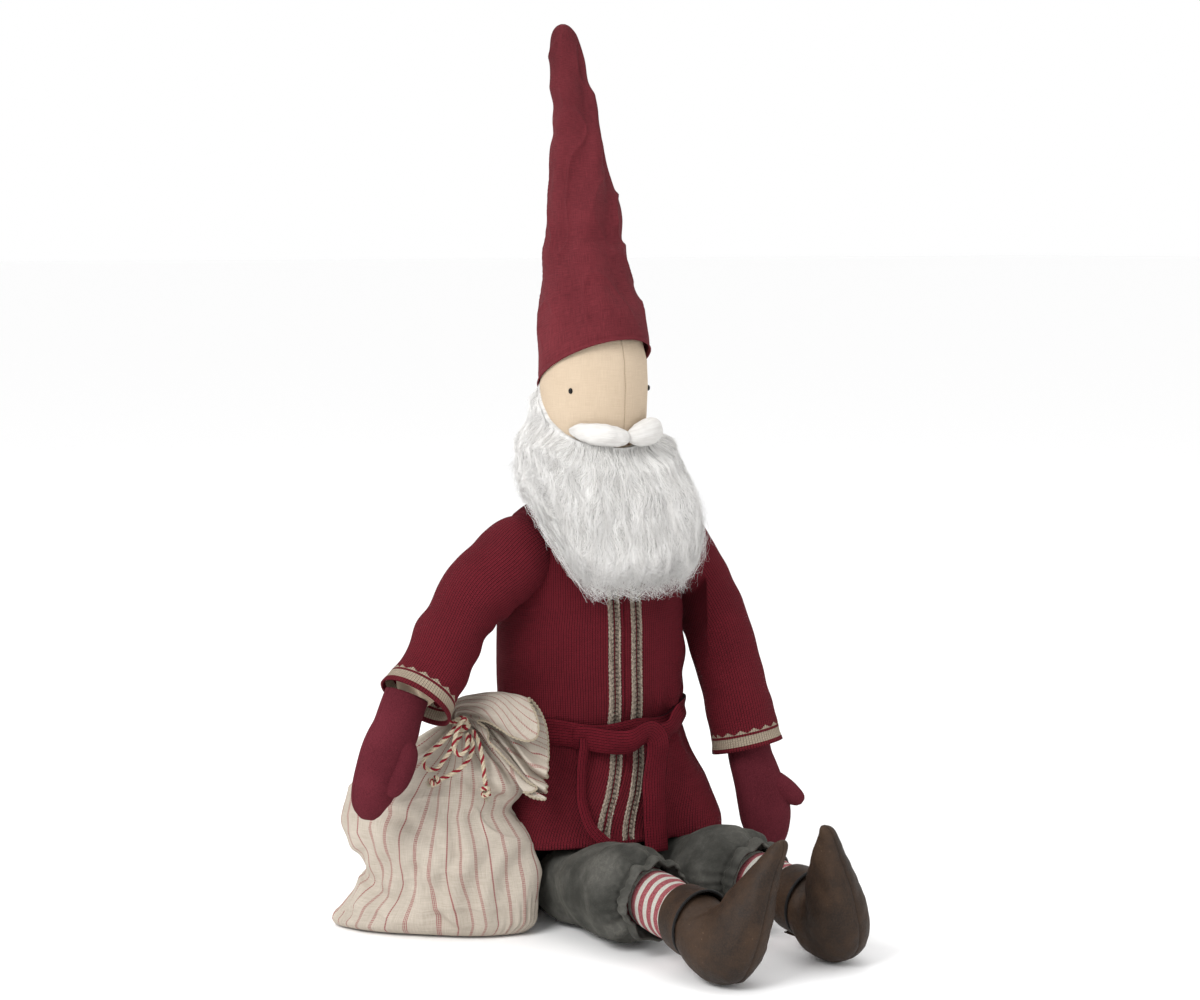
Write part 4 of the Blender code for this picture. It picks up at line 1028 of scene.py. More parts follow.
def make_head():
    rows, columns = 150, 240
    stations = spline(HEAD, 12)
    height = stations[:, 0][:, None]
    angle = (np.arange(columns) * 360 / columns)[None, :] + 0 * height
    grid = head_surface(angle, height + 0 * angle)
    out = outward(grid)
    off = (angle + 180) % 360 - 180
    back = (angle + 360) % 360 - 180
    groove = bell(off, 0, 1.0) + bell(back, 0, 1.0)
    stitches = 0.6 + 0.4 * np.sin(height * TAU / 0.0022)
    push = -0.0006 * groove * stitches + 0.0004 * cloud(grid, 0.030, 4.0)
    grid = grid + out * push[..., None]
    skin("head_calico", grid, "calico", "head", "calico", caps=True, replaces=("head_cloth",))

    # the seam's thread: short stitches down the middle of the face
    verts, faces = [], []
    for index in range(60):
        z = 0.476 + index * 0.0017
        ends = head_surface(np.array((-0.25, 0.25)), np.array((z, z + 0.0011)), -0.0001)
        start = len(verts)
        for end in ends + AXIS:
            verts += (end + np.array(((-0.00022, 0, 0), (0.00022, 0, 0), (0, -0.00035, 0)))).tolist()
        faces += [tuple(start + k for k in face) for face in
                  ((0, 1, 4, 3), (1, 2, 5, 4), (2, 0, 3, 5), (2, 1, 0), (3, 4, 5))]
    mesh = mesh_of("face_seam_thread", verts, faces)
    mesh.shade_flat()
    place("face_seam_thread", mesh, "seam", "head", "calico")

    turn = turns(24)[0]
    for side, word in SIDES:
        centre = head_surface(np.array(side * 60.0), np.array(0.517), 0.0004)
        out = unit(centre * np.array((1, 1, 0)))
        across = np.cross((0, 0, 1), out)
        rings = []
        for lift, size in ((-0.0012, 1.0), (0.0, 1.0), (0.0009, 0.92), (0.0015, 0.70), (0.0019, 0.35)):
            rings.append(centre + out * lift + across * (np.cos(turn) * 0.0022 * size)[:, None]
                         + np.array((0, 0, 1)) * (np.sin(turn) * 0.0029 * size)[:, None])
        grid = np.array(rings)
        skin("eye_bead_" + word, grid, "bead", "head", "bead", caps=True, replaces=("eye_" + word,))

    # the mouth: a thin brown line across the face under the moustache, just above the beard's upper edge
    angles = np.linspace(-11, 12, 40)
    sag = 0.4635 + 0.0006 * np.cos(np.radians(angles * 8))
    path = head_surface(angles, sag, 0.0016)
    thin = 0.0009 * smooth(np.abs(angles), 12.5, 7)
    grid = tube(path, thin + 0.0001, thin + 0.0001, (0, 0, 1), 10)
    skin("mouth_brown_line", grid, "thread", "head", "thread", caps=True, replaces=("mouth_stitch",))

    # (degrees from the middle, height, half height, thickness) of a moustache lobe
    lobes = {
        "right": [(0.5, 0.4705, 0.0035, 0.0040), (6, 0.4715, 0.0075, 0.0080), (15, 0.4730, 0.0098, 0.0100),
                  (27, 0.4750, 0.0106, 0.0105), (39, 0.4765, 0.0098, 0.0090), (50, 0.4775, 0.0074, 0.0062),
                  (58, 0.4780, 0.0045, 0.0034), (62, 0.4785, 0.0015, 0.0012)],
        "left": [(0.5, 0.4705, 0.0035, 0.0040), (5, 0.4720, 0.0085, 0.0085), (14, 0.4740, 0.0120, 0.0112),
                 (26, 0.4760, 0.0132, 0.0118), (38, 0.4770, 0.0118, 0.0100), (48, 0.4780, 0.0085, 0.0068),
                 (56, 0.4785, 0.0048, 0.0034), (60, 0.4790, 0.0015, 0.0012)],
    }
    for side, word in SIDES:
        rows = spline(lobes[word], 8)
        base = head_surface(side * rows[:, 0], rows[:, 1], 0.0)
        out = unit(base * np.array((1, 1, 0)))
        centre = base + out * (rows[:, 3] * 0.92 + 0.0010)[:, None]
        grid = tube(centre, rows[:, 3], rows[:, 2], (0, 0, 1), 64)
        away = outward(grid)
        grid = grid + away * (0.0007 * cloud(grid, 0.011, 6.0) + 0.0003 * cloud(grid, 0.004, 1.0))[..., None]
        skin("moustache_wool_" + word, grid, "felted", "head", "wool", caps=True,
             replaces=("moustache_" + word,))


# ---------------------------------------------------------------- hat

# (height above the brim, radius, middle y) of the stuffed linen hat
HAT_BASE = 0.538
HAT = millimetres([
    (0, 56.2, 0), (20, 55, 1), (45, 52.5, 4), (69, 48, 9), (92, 44.5, 12), (115, 41.5, 16), (128, 38.5, 20),
    (149, 36.8, 19), (166, 35, 20.5), (186, 31.8, 25), (202, 28.8, 26.5), (220, 26.2, 26.2), (240, 22.8, 27.5),
    (261, 21.3, 34.5), (280, 19.5, 42), (294, 18, 47.5), (312, 16.5, 51.5), (328, 14.5, 53.5), (338, 11.5, 54.5),
    (344, 7, 55), (346.5, 2.5, 55.2)])
HAT_TILT = 0.53
HAT_AROUND = 0.36


def make_hat():
    rows = spline(HAT, 13)
    columns = 200
    turn = turns(columns)
    up, radius, middle = (rows[:, k][:, None] for k in range(3))
    level = np.clip(1 - up / 0.115, 0, 1)
    x, y = radius * np.cos(turn), radius * np.sin(turn)
    grid = np.stack((x, middle + y, HAT_BASE + up - HAT_TILT * level * y), axis=2)
    out = outward(grid)
    size = smooth(up, 0.347, 0.300)
    loose = smooth(up, 0.004, 0.060) * size
    # one long soft fold runs down from the tip, crossed by slack places where the cone narrows
    facing = (turn - math.radians(285) + 0.8 * np.sin(up * 14) + math.pi) % TAU - math.pi
    push = 0.0034 * loose * np.exp(-(facing / 0.30) ** 2)
    push -= 0.0030 * loose * np.exp(-((facing - 0.62) / 0.26) ** 2)
    push -= 0.0022 * loose * np.exp(-((facing + 0.62) / 0.30) ** 2)
    push += 0.0019 * loose * cloud(grid, (0.030, 0.030, 0.060), 2.0)
    push += 0.0007 * loose * cloud(grid, (0.016, 0.016, 0.060), 6.0)
    narrow = ((0.262, 0.010, 1.0), (0.190, 0.012, 0.7), (0.133, 0.012, 0.8), (0.232, 0.008, 0.5))
    slack = sum(weight * bell(up, centre, width) for centre, width, weight in narrow)
    push -= 0.0022 * slack * (0.45 + 0.55 * np.cos(turn - math.radians(160)))
    push += 0.0024 * loose * ridges(grid, (0.036, 0.036, 0.060), 11.0) ** 3
    # the brim's turned edge
    push += 0.0010 * smooth(up, 0.0030, 0.0) - 0.0007 * bell(up, 0.0052, 0.0012)
    grid = grid + out * push[..., None]
    skin("hat_red_linen", grid, "hat", "cap", "hat_linen", uv=around_uv(columns, HAT_AROUND, up), thick=0.0016,
         replaces=("hat",))

    # loose filling inside the cone
    rows = spline(HAT[4:18], 4)
    turn = turns(40)
    up, radius, middle = (rows[:, k][:, None] for k in range(3))
    radius = radius - 0.0095
    grid = np.stack((radius * np.cos(turn), middle + radius * np.sin(turn), HAT_BASE + up + 0 * turn), axis=2)
    skin("hat_loose_filling", grid, "filling", "cap", "stuffing", caps=True, replaces=("hat_filling",))


# ---------------------------------------------------------------- beard

# (height, half width, half depth, middle y) of the beard's outer face
BEARD = millimetres([
    (328, 62, 30, -60), (345, 82, 43, -54), (365, 92, 52, -45), (390, 95, 56, -36), (415, 95, 62, -23),
    (440, 91, 66, -10), (480, 80, 66, 0), (500, 72, 66, 0), (520, 63, 62, 0), (535, 58, 58, 0)])
BEARD_REACH = 124.0             # degrees to each side
BEARD_RADIUS = 0.085
BEARD_LENGTH = 0.13
# (degrees from the front, height) of the beard's upper edge, below the cheek and up to the ear
BEARD_TOP = np.array([(0, 0.4606), (13, 0.4616), (22, 0.4648), (50, 0.4675), (68, 0.4745), (87, 0.4870),
                      (106, 0.5050), (124, 0.5240)])


def beard_reach(angle, height):
    """Distance from the neck's axis to the beard's outer face, along each bearing."""
    turn = np.radians(angle)
    wide, deep, middle = (np.interp(height, BEARD[:, 0], BEARD[:, k]) for k in (1, 2, 3))
    sin, cos = np.sin(turn), np.cos(turn)
    a = (sin / wide) ** 2 + (cos / deep) ** 2
    b = cos * middle / deep ** 2
    c = (middle / deep) ** 2 - 1
    return (-b + np.sqrt(np.maximum(b * b - a * c, 0))) / a


def beard_edges(angle):
    """Heights of the beard's lower and upper edges."""
    side = np.abs(angle)
    bottom = 0.330 + 0.085 * smooth(side, 34, 78) + 0.030 * smooth(side, 78, 124)
    top = np.interp(side, BEARD_TOP[:, 0], BEARD_TOP[:, 1])
    return bottom, top


def beard_point(angle, share, lift):
    """A point of the beard: share 0 at its lower edge, 1 at its upper edge."""
    bottom, top = beard_edges(angle)
    height = bottom + (top - bottom) * share
    skull = np.interp(height, HEAD[:, 0], HEAD[:, 1])
    reach = np.maximum(beard_reach(angle, np.maximum(height, BEARD[0, 0])), skull + 0.004)
    round_top = smooth(share, 1.0, 0.80 - 0.40 * smooth(np.abs(angle), 66, 104))
    reach = skull + 0.0015 + (reach - skull - 0.0015) * (0.25 + 0.75 * round_top) + lift
    turn = np.radians(angle)
    return np.stack((reach * np.sin(turn), -reach * np.cos(turn), height), axis=-1)


def beard_lift(angle, share):
    """Soft mounds and hollows of the wool, in metres; they fade towards its upper edge."""
    over = np.clip(share, 0, 1)
    places = np.stack((angle / 26.0, over * 3.2, 0 * angle), axis=-1)
    waves = 0.0050 * cloud(places, 1.0, 5.0)
    waves += 0.0019 * cloud(places * np.array((3.4, 1.7, 1.0)), 1.0, 9.0) * smooth(over, 1.0, 0.6)
    waves += 0.0008 * cloud(places * np.array((9.0, 3.0, 1.0)), 1.0, 2.0) * smooth(over, 0.8, 0.3)
    return waves * smooth(share, 1.0, 0.85) - 0.0026


def beard_uv(angle, share):
    return np.stack((np.radians(angle) * BEARD_RADIUS, share * BEARD_LENGTH), axis=-1)


def make_beard():
    """A soft body of wool, coloured darker than the strands as painted shade in the gaps between them, and over it
    combed strands that thin out into a wispy lower edge.
    """
    rows, columns = 130, 240
    angle = np.linspace(-BEARD_REACH, BEARD_REACH, columns)[None, :]
    share = np.linspace(0.02, 1.0, rows)[:, None]
    angle, share = np.broadcast_arrays(angle, share)
    lift = beard_lift(angle, share)
    side = smooth(np.abs(angle), BEARD_REACH, BEARD_REACH - 10)
    thin = smooth(share, 0.0, 0.14)
    outer = beard_point(angle, share, lift)
    inner = beard_point(angle, share, lift - 0.0030 - 0.0075 * side * thin)
    jag = 0.0060 * cloud(np.stack((angle[0] / 2.2, 0 * angle[0], 0 * angle[0]), axis=-1), 1.0, 3.0)
    for face in (outer, inner):
        face[:, :, 2] += jag[None, :] * smooth(share, 0.12, 0.0)
    # the two faces meet in a line along the lower and the upper edge
    between = (outer + inner) / 2
    outer = np.concatenate((between[:1], outer, between[-1:]))
    inner = np.concatenate((between[:1], inner, between[-1:]))
    angle = np.pad(angle, ((1, 1), (0, 0)), mode="edge")
    share = np.pad(share, ((1, 1), (0, 0)), mode="edge")
    grid = np.concatenate((outer, inner[:, ::-1]), axis=1)
    uv = beard_uv(np.concatenate((angle, angle[:, ::-1], angle[:, :1]), axis=1),
                  np.concatenate((share, share, share[:, :1]), axis=1))
    skin("beard_wool_body", grid, "wool", "head", "wool", uv=uv, replaces=("beard",))
    draw = np.random.default_rng(11)
    make_strands("beard_wool_strands_low", draw, 5400, 0.00, 0.62, (0.14, 0.34), 1.7)
    make_strands("beard_wool_strands_high", draw, 5200, 0.35, 0.99, (0.08, 0.22), 1.5)
    make_strands("beard_wisps", draw, 3200, -0.04, 0.26, (0.10, 0.22), 4.2)


def make_strands(name, draw, count, lowest, highest, spans, loose):
    """Thin three-sided fibres that follow the beard downwards; neighbours share their waves."""
    steps = 7
    angle = draw.uniform(-BEARD_REACH + 1, BEARD_REACH - 1, count)
    span = draw.uniform(*spans, count)
    start = draw.uniform(lowest + span * 0.6, highest, count)
    t = np.linspace(0, 1, steps)[None, :]
    share = start[:, None] - span[:, None] * t
    places = np.stack((np.broadcast_to(angle[:, None] / 7.0, share.shape), share * 5.0, 0 * share), axis=-1)
    sway = cloud(places, 1.0, 2.0)
    own = draw.normal(0, 1, (count, 3))
    wave = np.sin(t * (1.5 + 2.5 * draw.random((count, 1))) * math.pi + own[:, :1] * 3)
    bearing = angle[:, None] + 4.4 * sway + loose * 1.2 * wave * t + loose * 2.3 * own[:, 1:2] * t
    bearing = np.clip(bearing, -BEARD_REACH - 2, BEARD_REACH + 2)
    lift = beard_lift(bearing, share)
    lift += 0.0004 + 0.0016 * draw.random((count, 1)) + loose * 0.0013 * np.abs(own[:, 2:3]) * t * t
    lift *= smooth(share, 1.02, 0.90) * 0.7 + 0.3
    points = beard_point(bearing, share, lift)
    forward = unit(np.gradient(points, axis=1))
    out = unit(points * np.array((1.0, 1.0, 0.0)))
    side = unit(np.cross(forward, out))
    out = np.cross(side, forward)
    width = (0.00022 * (1 - 0.75 * t) * draw.uniform(0.7, 1.5, (count, 1)))[..., None]
    corners = [points + side * width, points - side * width, points + out * width * 1.1]
    verts = np.stack(corners, axis=2) + AXIS
    low = (np.arange(count) * steps * 3)[:, None] + (np.arange(steps - 1) * 3)[None, :]
    quads = [np.stack((low + a, low + b, low + 3 + b, low + 3 + a), axis=-1) for a, b in ((0, 1), (1, 2), (2, 0))]
    faces = np.stack(quads, axis=2).reshape(-1, 4)
    uv = np.repeat(beard_uv(bearing, share)[:, :, None, :], 3, axis=2).reshape(-1, 2)
    mesh = mesh_of(name, verts.reshape(-1, 3).tolist(), faces.tolist(), uv[faces.ravel()])
    place(name, mesh, "strand", "head", "wool")


make_head()
make_hat()
make_beard()


# ---------------------------------------------------------------- legs

HIP = np.array((0.055, -0.030, 0.0365))
KNEE = np.array((0.061, -0.177, 0.054))
ANKLE = np.array((0.065, -0.250, 0.047))
# (y, radius) of the trouser leg, from the hip over the elastic to the ruffle's edge
TROUSER = millimetres([
    (-2, 13), (-12, 26), (-30, 34.5), (-70, 37), (-100, 42.5), (-125, 45.2), (-145, 45.5), (-160, 41.5), (-169, 35.5),
    (-173.5, 32.5), (-177, 34), (-182, 36.8), (-188, 37.5), (-192, 35.5)])
ELASTIC = -0.1735
TROUSER_AROUND = 0.25
STOCKING_AROUND = 0.171


def leg_middle(y, side):
    """The leg's centre line: up a little to the knee, then level to the ankle."""
    y = np.asarray(y, float)
    upper = np.clip((y - HIP[1]) / (KNEE[1] - HIP[1]), 0, 1)[..., None]
    lower = np.clip((y - KNEE[1]) / (ANKLE[1] - KNEE[1]), 0, 1)[..., None]
    point = HIP + (KNEE - HIP) * upper + (ANKLE - KNEE) * lower
    point[..., 0] *= side
    point[..., 1] = y
    return point


def round_leg(y, radius, side, turn):
    """A grid round the leg's centre line."""
    centre = leg_middle(y, side)[:, None, :]
    radius = radius[:, None]
    return np.stack((centre[..., 0] + radius * np.cos(turn), y[:, None] + 0 * turn,
                     centre[..., 2] + radius * np.sin(turn)), axis=2)


def make_trouser(side, word):
    rows = spline(TROUSER, 13)
    columns = 200
    turn = turns(columns)
    grid = round_leg(rows[:, 0], rows[:, 1], side, turn)
    out = outward(grid)
    ahead = rows[:, :1]
    phase = 3.0 * side
    # gathers fan out from the elastic, and broad folds lie along and across the thigh
    near = smooth(ahead, ELASTIC + 0.050, ELASTIC + 0.002)
    past = smooth(ahead, ELASTIC - 0.001, ELASTIC - 0.014)
    gathers = np.sin(turn * 19 + 2.2 * np.sin(turn * 3 + phase) + 0.8 * cloud(grid, 0.05, 1.0 + phase))
    broad = np.sin(turn * 8 + 1.7 * np.sin(turn * 2 + phase) + 26 * ahead)
    push = 0.0009 * near * gathers + 0.0022 * smooth(ahead, ELASTIC + 0.085, ELASTIC + 0.02) * near * broad
    push += 0.0012 * past * np.sin(turn * 5 + 1.6 * np.sin(turn * 2 + phase))
    thigh = smooth(ahead, -0.020, -0.060) * smooth(ahead, ELASTIC + 0.002, ELASTIC + 0.020)
    push += 0.0032 * thigh * cloud(grid, (0.050, 0.036, 0.044), 4.0 + phase)
    push += 0.0016 * thigh * (ridges(grid, (0.060, 0.034, 0.050), 8.0 + phase) ** 2 - 0.3)
    push -= 0.0022 * bell(ahead, ELASTIC, 0.0022)
    grid = grid + out * push[..., None]
    # the leg rests on the floor
    grid[..., 2] = np.maximum(grid[..., 2], 0.0022)
    skin("trouser_velvet_" + word, grid, "velvet", word + "_leg", "velvet",
         uv=around_uv(columns, TROUSER_AROUND, -ahead), thick=0.0018, replaces=("trouser_leg_" + word,))


def make_stocking(side, word):
    y = np.linspace(-0.036, -0.2560, 90)
    columns = 90
    grid = round_leg(y, 0.0272 + 0.0003 * np.sin(y * 180), side, turns(columns))
    out = outward(grid)
    grid = grid + out * (0.0006 * cloud(grid, 0.022, 3.0) + 0.0003 * cloud(grid, 0.010, 6.0))[..., None]
    wave = 0.0008 * cloud(grid, 0.03, 9.0)
    v = -y[:, None] + np.concatenate((wave, wave[:, :1]), axis=1) + 0.002
    skin("stocking_" + word, grid, "sock", word + "_leg", "sock", uv=around_uv(columns, STOCKING_AROUND, v),
         caps=True, replaces=("leg_" + word,))


# instep (y, z), sole (y, z), half width
SHOE = millimetres([
    (-254, 75.5, -254, 18, 28.8), (-261, 74.5, -260, 13, 29.6), (-267, 71.5, -267, 7.5, 30.1),
    (-272, 69, -276, 3, 30.3), (-276.5, 67.5, -288, 1.2, 30.3), (-280, 68, -301, 2, 30.2),
    (-282.5, 70.5, -313, 6, 29.9), (-284.5, 74.5, -323, 13, 29.2), (-286.6, 80, -330, 22, 28.1),
    (-288.5, 86.8, -334.5, 34, 26.5), (-291.8, 91.5, -336.8, 47, 24.5), (-295.5, 97, -337.5, 61, 22),
    (-299.5, 103, -337, 75, 19.3), (-303.5, 109, -336, 88, 16.8), (-308, 115.5, -334.8, 100, 14.3),
    (-312.5, 122, -334, 111, 12), (-316.5, 127.5, -334.2, 120, 10.4), (-320, 132.5, -334.2, 127.5, 9.2),
    (-322.8, 136.2, -333.2, 132.5, 7.6), (-325, 138.2, -331.2, 136.2, 5.2), (-326.8, 139, -329.2, 138.2, 2.2)])
TOE_LEAN = 0.041
TOE_TOP = 0.140
SHOE_COLLAR = (-0.2610, 0.0312)      # y and radius


def make_shoe(side, word):
    rows = spline(SHOE, 8)
    turn = turns(140)
    share = (1 - np.cos(turn)) / 2
    front_y, front_z, sole_y, sole_z, half = (rows[:, k][:, None] for k in range(5))
    y = front_y + (sole_y - front_y) * share
    z = front_z + (sole_z - front_z) * share
    ahead = np.linspace(0, 1, len(rows))[:, None]
    risen = np.clip(z, 0, 1) * smooth(ahead, 0.04, 0.42)
    x = side * ANKLE[0] + half * np.sin(turn) - side * TOE_LEAN * (risen / TOE_TOP) ** 1.6
    if side < 0:
        z = z * (1 - 0.060 * smooth(z, 0.045, 0.140))
    grid = np.stack((x, y, z), axis=2)
    out = outward(grid)
    ankle = smooth(y, -0.262, -0.272)
    push = 0.0009 * ankle * cloud(grid, 0.024, 5.0 + side) + 0.0004 * cloud(grid, 0.009, 2.0)
    # the seam down the sole and the toe, and creases across the bend of the instep
    push -= 0.0009 * bell(turn, math.pi, 0.030) + 0.0004 * bell(turn, math.pi, 0.10)
    bend = bell(y, -0.280, 0.010) * (bell(turn, 0, 0.9) + bell(turn, TAU, 0.9))
    push += 0.0003 * bend * np.sin(z * 900 + y * 500)
    grid = grid + out * push[..., None]
    grid[..., 2] = np.maximum(grid[..., 2], 0.0006)
    skin("shoe_leatherette_" + word, grid, "leather", word + "_leg", "leather", caps=True,
         replaces=("shoe_" + word,))

    # a thin black ring where the shoe's collar meets the cuff
    turn = turns(120)[0]
    centre = leg_middle(np.array(SHOE_COLLAR[0]), side)
    path = np.stack((centre[0] + SHOE_COLLAR[1] * np.cos(turn), SHOE_COLLAR[0] - 0.004 * np.sin(turn),
                     centre[2] + SHOE_COLLAR[1] * np.sin(turn)), axis=1)
    grid = tube(path, 0.0013, 0.0013, (0, 1, 0), 12)
    grid = np.concatenate((grid, grid[:1]), axis=0)
    skin("shoe_collar_black_line_" + word, grid, "edge", word + "_leg", "leather")


CUFF = millimetres([(-234.5, 29.6), (-236.5, 30.4), (-242, 31), (-249, 31.4), (-257, 31.8), (-260, 31.8)])


def make_cuff(side, word):
    """A wrapped ankle cuff whose end stands off in a small point under the ankle."""
    rows = spline(CUFF, 8)
    turn = turns(120)
    grid = round_leg(rows[:, 0], rows[:, 1], side, turn)
    grid[..., 1] -= 0.004 * np.sin(turn) * smooth(rows[:, :1], -0.246, -0.260)
    out = outward(grid)
    grid = grid + out * (0.0003 * cloud(grid, 0.03, 4.0))[..., None]
    skin("ankle_cuff_leatherette_" + word, grid, "leather", word + "_leg", "cuff_felt", thick=0.0018,
         replaces=("ankle_cuff_" + word,))
    low = leg_middle(np.array(-0.250), side) + np.array((-side * 0.010, 0, -0.0310))
    # (half width, y, z) of the end's four rows
    shape = ((0.006, 0.010, 0.0015), (0.004, -0.004, 0.0005), (0.0015, -0.016, -0.0035), (0.0003, -0.023, -0.0075))
    tab = np.array([[low + (-half, y, z), low + (half, y, z)] for half, y, z in shape])
    tab[..., 2] = np.maximum(tab[..., 2], 0.0024)
    skin("ankle_cuff_end_" + word, tab, "leather", word + "_leg", "cuff_felt", closed=False, thick=0.0012)


def make_seat():
    """The trousers' seat, which spreads on the floor under the coat."""
    wide, deep, middle = 0.0895, 0.0295, 0.040
    levels = [(0.0004, 0.80), (0.0010, 0.90), (0.0050, 0.965), (0.0140, 1.0), (0.030, 1.005), (0.046, 1.0),
              (0.060, 0.99), (0.072, 0.985)]
    height, size = spline(levels, 8).T[..., None]
    cos, sin = squared(turns(160), 2.6)
    grid = np.stack((wide * size * cos, middle + deep * size * sin, height + 0 * cos), axis=2)
    out = outward(grid)
    push = 0.0010 * cloud(grid, 0.02, 5.0) + 0.0008 * ridges(grid, 0.03, 2.0)
    grid = grid + out * (smooth(height, 0.002, 0.016) * push)[..., None]
    skin("trouser_velvet_seat", grid, "velvet", "doll", "velvet", caps=True, replaces=("trouser_seat",))


for side, word in SIDES:
    make_trouser(side, word)
    make_stocking(side, word)
    make_shoe(side, word)
    make_cuff(side, word)
make_seat()


# ---------------------------------------------------------------- sack

SACK_TURN = math.radians(-45.0)
LONG = np.array((math.cos(SACK_TURN), math.sin(SACK_TURN), 0.0))      # along the sack's flat width
SHORT = np.array((-math.sin(SACK_TURN), math.cos(SACK_TURN), 0.0))
SACK_AROUND = 0.49
SACK_BELLY = 96                 # the row where the stripes are evenly spaced
SACK_FILLED = slice(60, 176, 4)     # the rows that its loose filling takes up
# height, reach to the outer end, reach to the doll's end, half depth, middle x, middle y
SACK = millimetres([
    (0.6, 78, 74, 28, -172, 22), (2.2, 91, 83, 38, -172, 22), (7, 96, 90, 45, -172, 22), (15, 94, 95, 49, -171, 21),
    (26, 89, 97, 51, -171, 21), (40, 79, 98, 52, -171, 20), (54, 72, 97, 53, -170, 20), (68, 77, 94, 53, -170, 19),
    (82, 89, 89, 53, -169, 18), (96, 96, 81, 51, -168, 18), (108, 100, 70, 48, -167, 16),
    (118, 101, 64, 47, -166, 15), (130, 99, 71, 45, -165, 14), (142, 93, 76, 42, -164, 12),
    (153, 83, 73, 38, -163, 10), (164, 67, 61, 33, -161, 7), (175, 46, 44, 27, -160, 4), (185, 31, 29, 21, -158, 2),
    (193, 19, 19, 16, -157, 0), (198.5, 14, 14, 13, -157, 0), (203, 12, 12, 12, -157, 0)])
# the mouth above the tie: x, y, z, half width, half thickness
MOUTH = millimetres([
    (-157, 0, 203, 12, 12), (-156.6, -5.1, 211.2, 12.8, 12.5), (-149.3, -18.7, 212.5, 16.5, 13),
    (-142.1, -32.3, 210, 22.5, 15.5), (-135.7, -45.3, 202.6, 30, 16.5), (-129, -56.1, 193, 38.5, 15),
    (-121.6, -67.4, 183, 45, 12.5), (-112, -79, 176, 46.5, 12.5)])
MOUTH_LENGTH = 0.105
PLEATS = 13
# creases on the sack's front: (place along the width, height) of both ends, depth and width
FOLDS = [((0.060, 0.128), (0.030, 0.150), 0.0070, 0.0070), ((0.030, 0.150), (0.002, 0.170), 0.0040, 0.0060),
         ((-0.070, 0.122), (-0.026, 0.112), 0.0056, 0.0070), ((-0.026, 0.112), (0.014, 0.090), 0.0030, 0.0065),
         ((-0.008, 0.072), (0.006, 0.050), 0.0030, 0.0040), ((0.012, 0.026), (0.034, 0.004), 0.0045, 0.0050),
         ((0.016, 0.118), (0.030, 0.080), 0.0034, 0.0050), ((-0.074, 0.056), (-0.030, 0.034), 0.0040, 0.0070)]


def crease(along, height, start, end, depth, wide):
    """A crease between two points of the (along, height) plane, with a soft roll above it."""
    run, rise = end[0] - start[0], end[1] - start[1]
    size = math.hypot(run, rise)
    walked = ((along - start[0]) * run + (height - start[1]) * rise) / size ** 2
    above = ((along - start[0]) * -rise + (height - start[1]) * run) / size
    above = above * (1.0 if run > 0 else -1.0)
    fade = smooth(walked, -0.25, 0.15) * smooth(walked, 1.25, 0.85)
    return depth * fade * (0.75 * bell(above, wide * 1.9, wide * 1.3) - bell(above, 0, wide))


def clear_of_coat(grid, room):
    """Press a grid out of the coat's oval, so that the sack only touches it."""
    wide, deep, middle = coat_measures(np.maximum(grid[..., 2], 0.084))
    x, y = grid[..., 0], grid[..., 1] - middle
    reach = np.sqrt(x * x + y * y)
    limit = 1 / np.sqrt((x / reach / (wide + room)) ** 2 + (y / reach / (deep + room)) ** 2)
    push = np.maximum(limit / reach, 1.0)
    return np.stack((x * push, y * push + middle, grid[..., 2]), axis=-1)


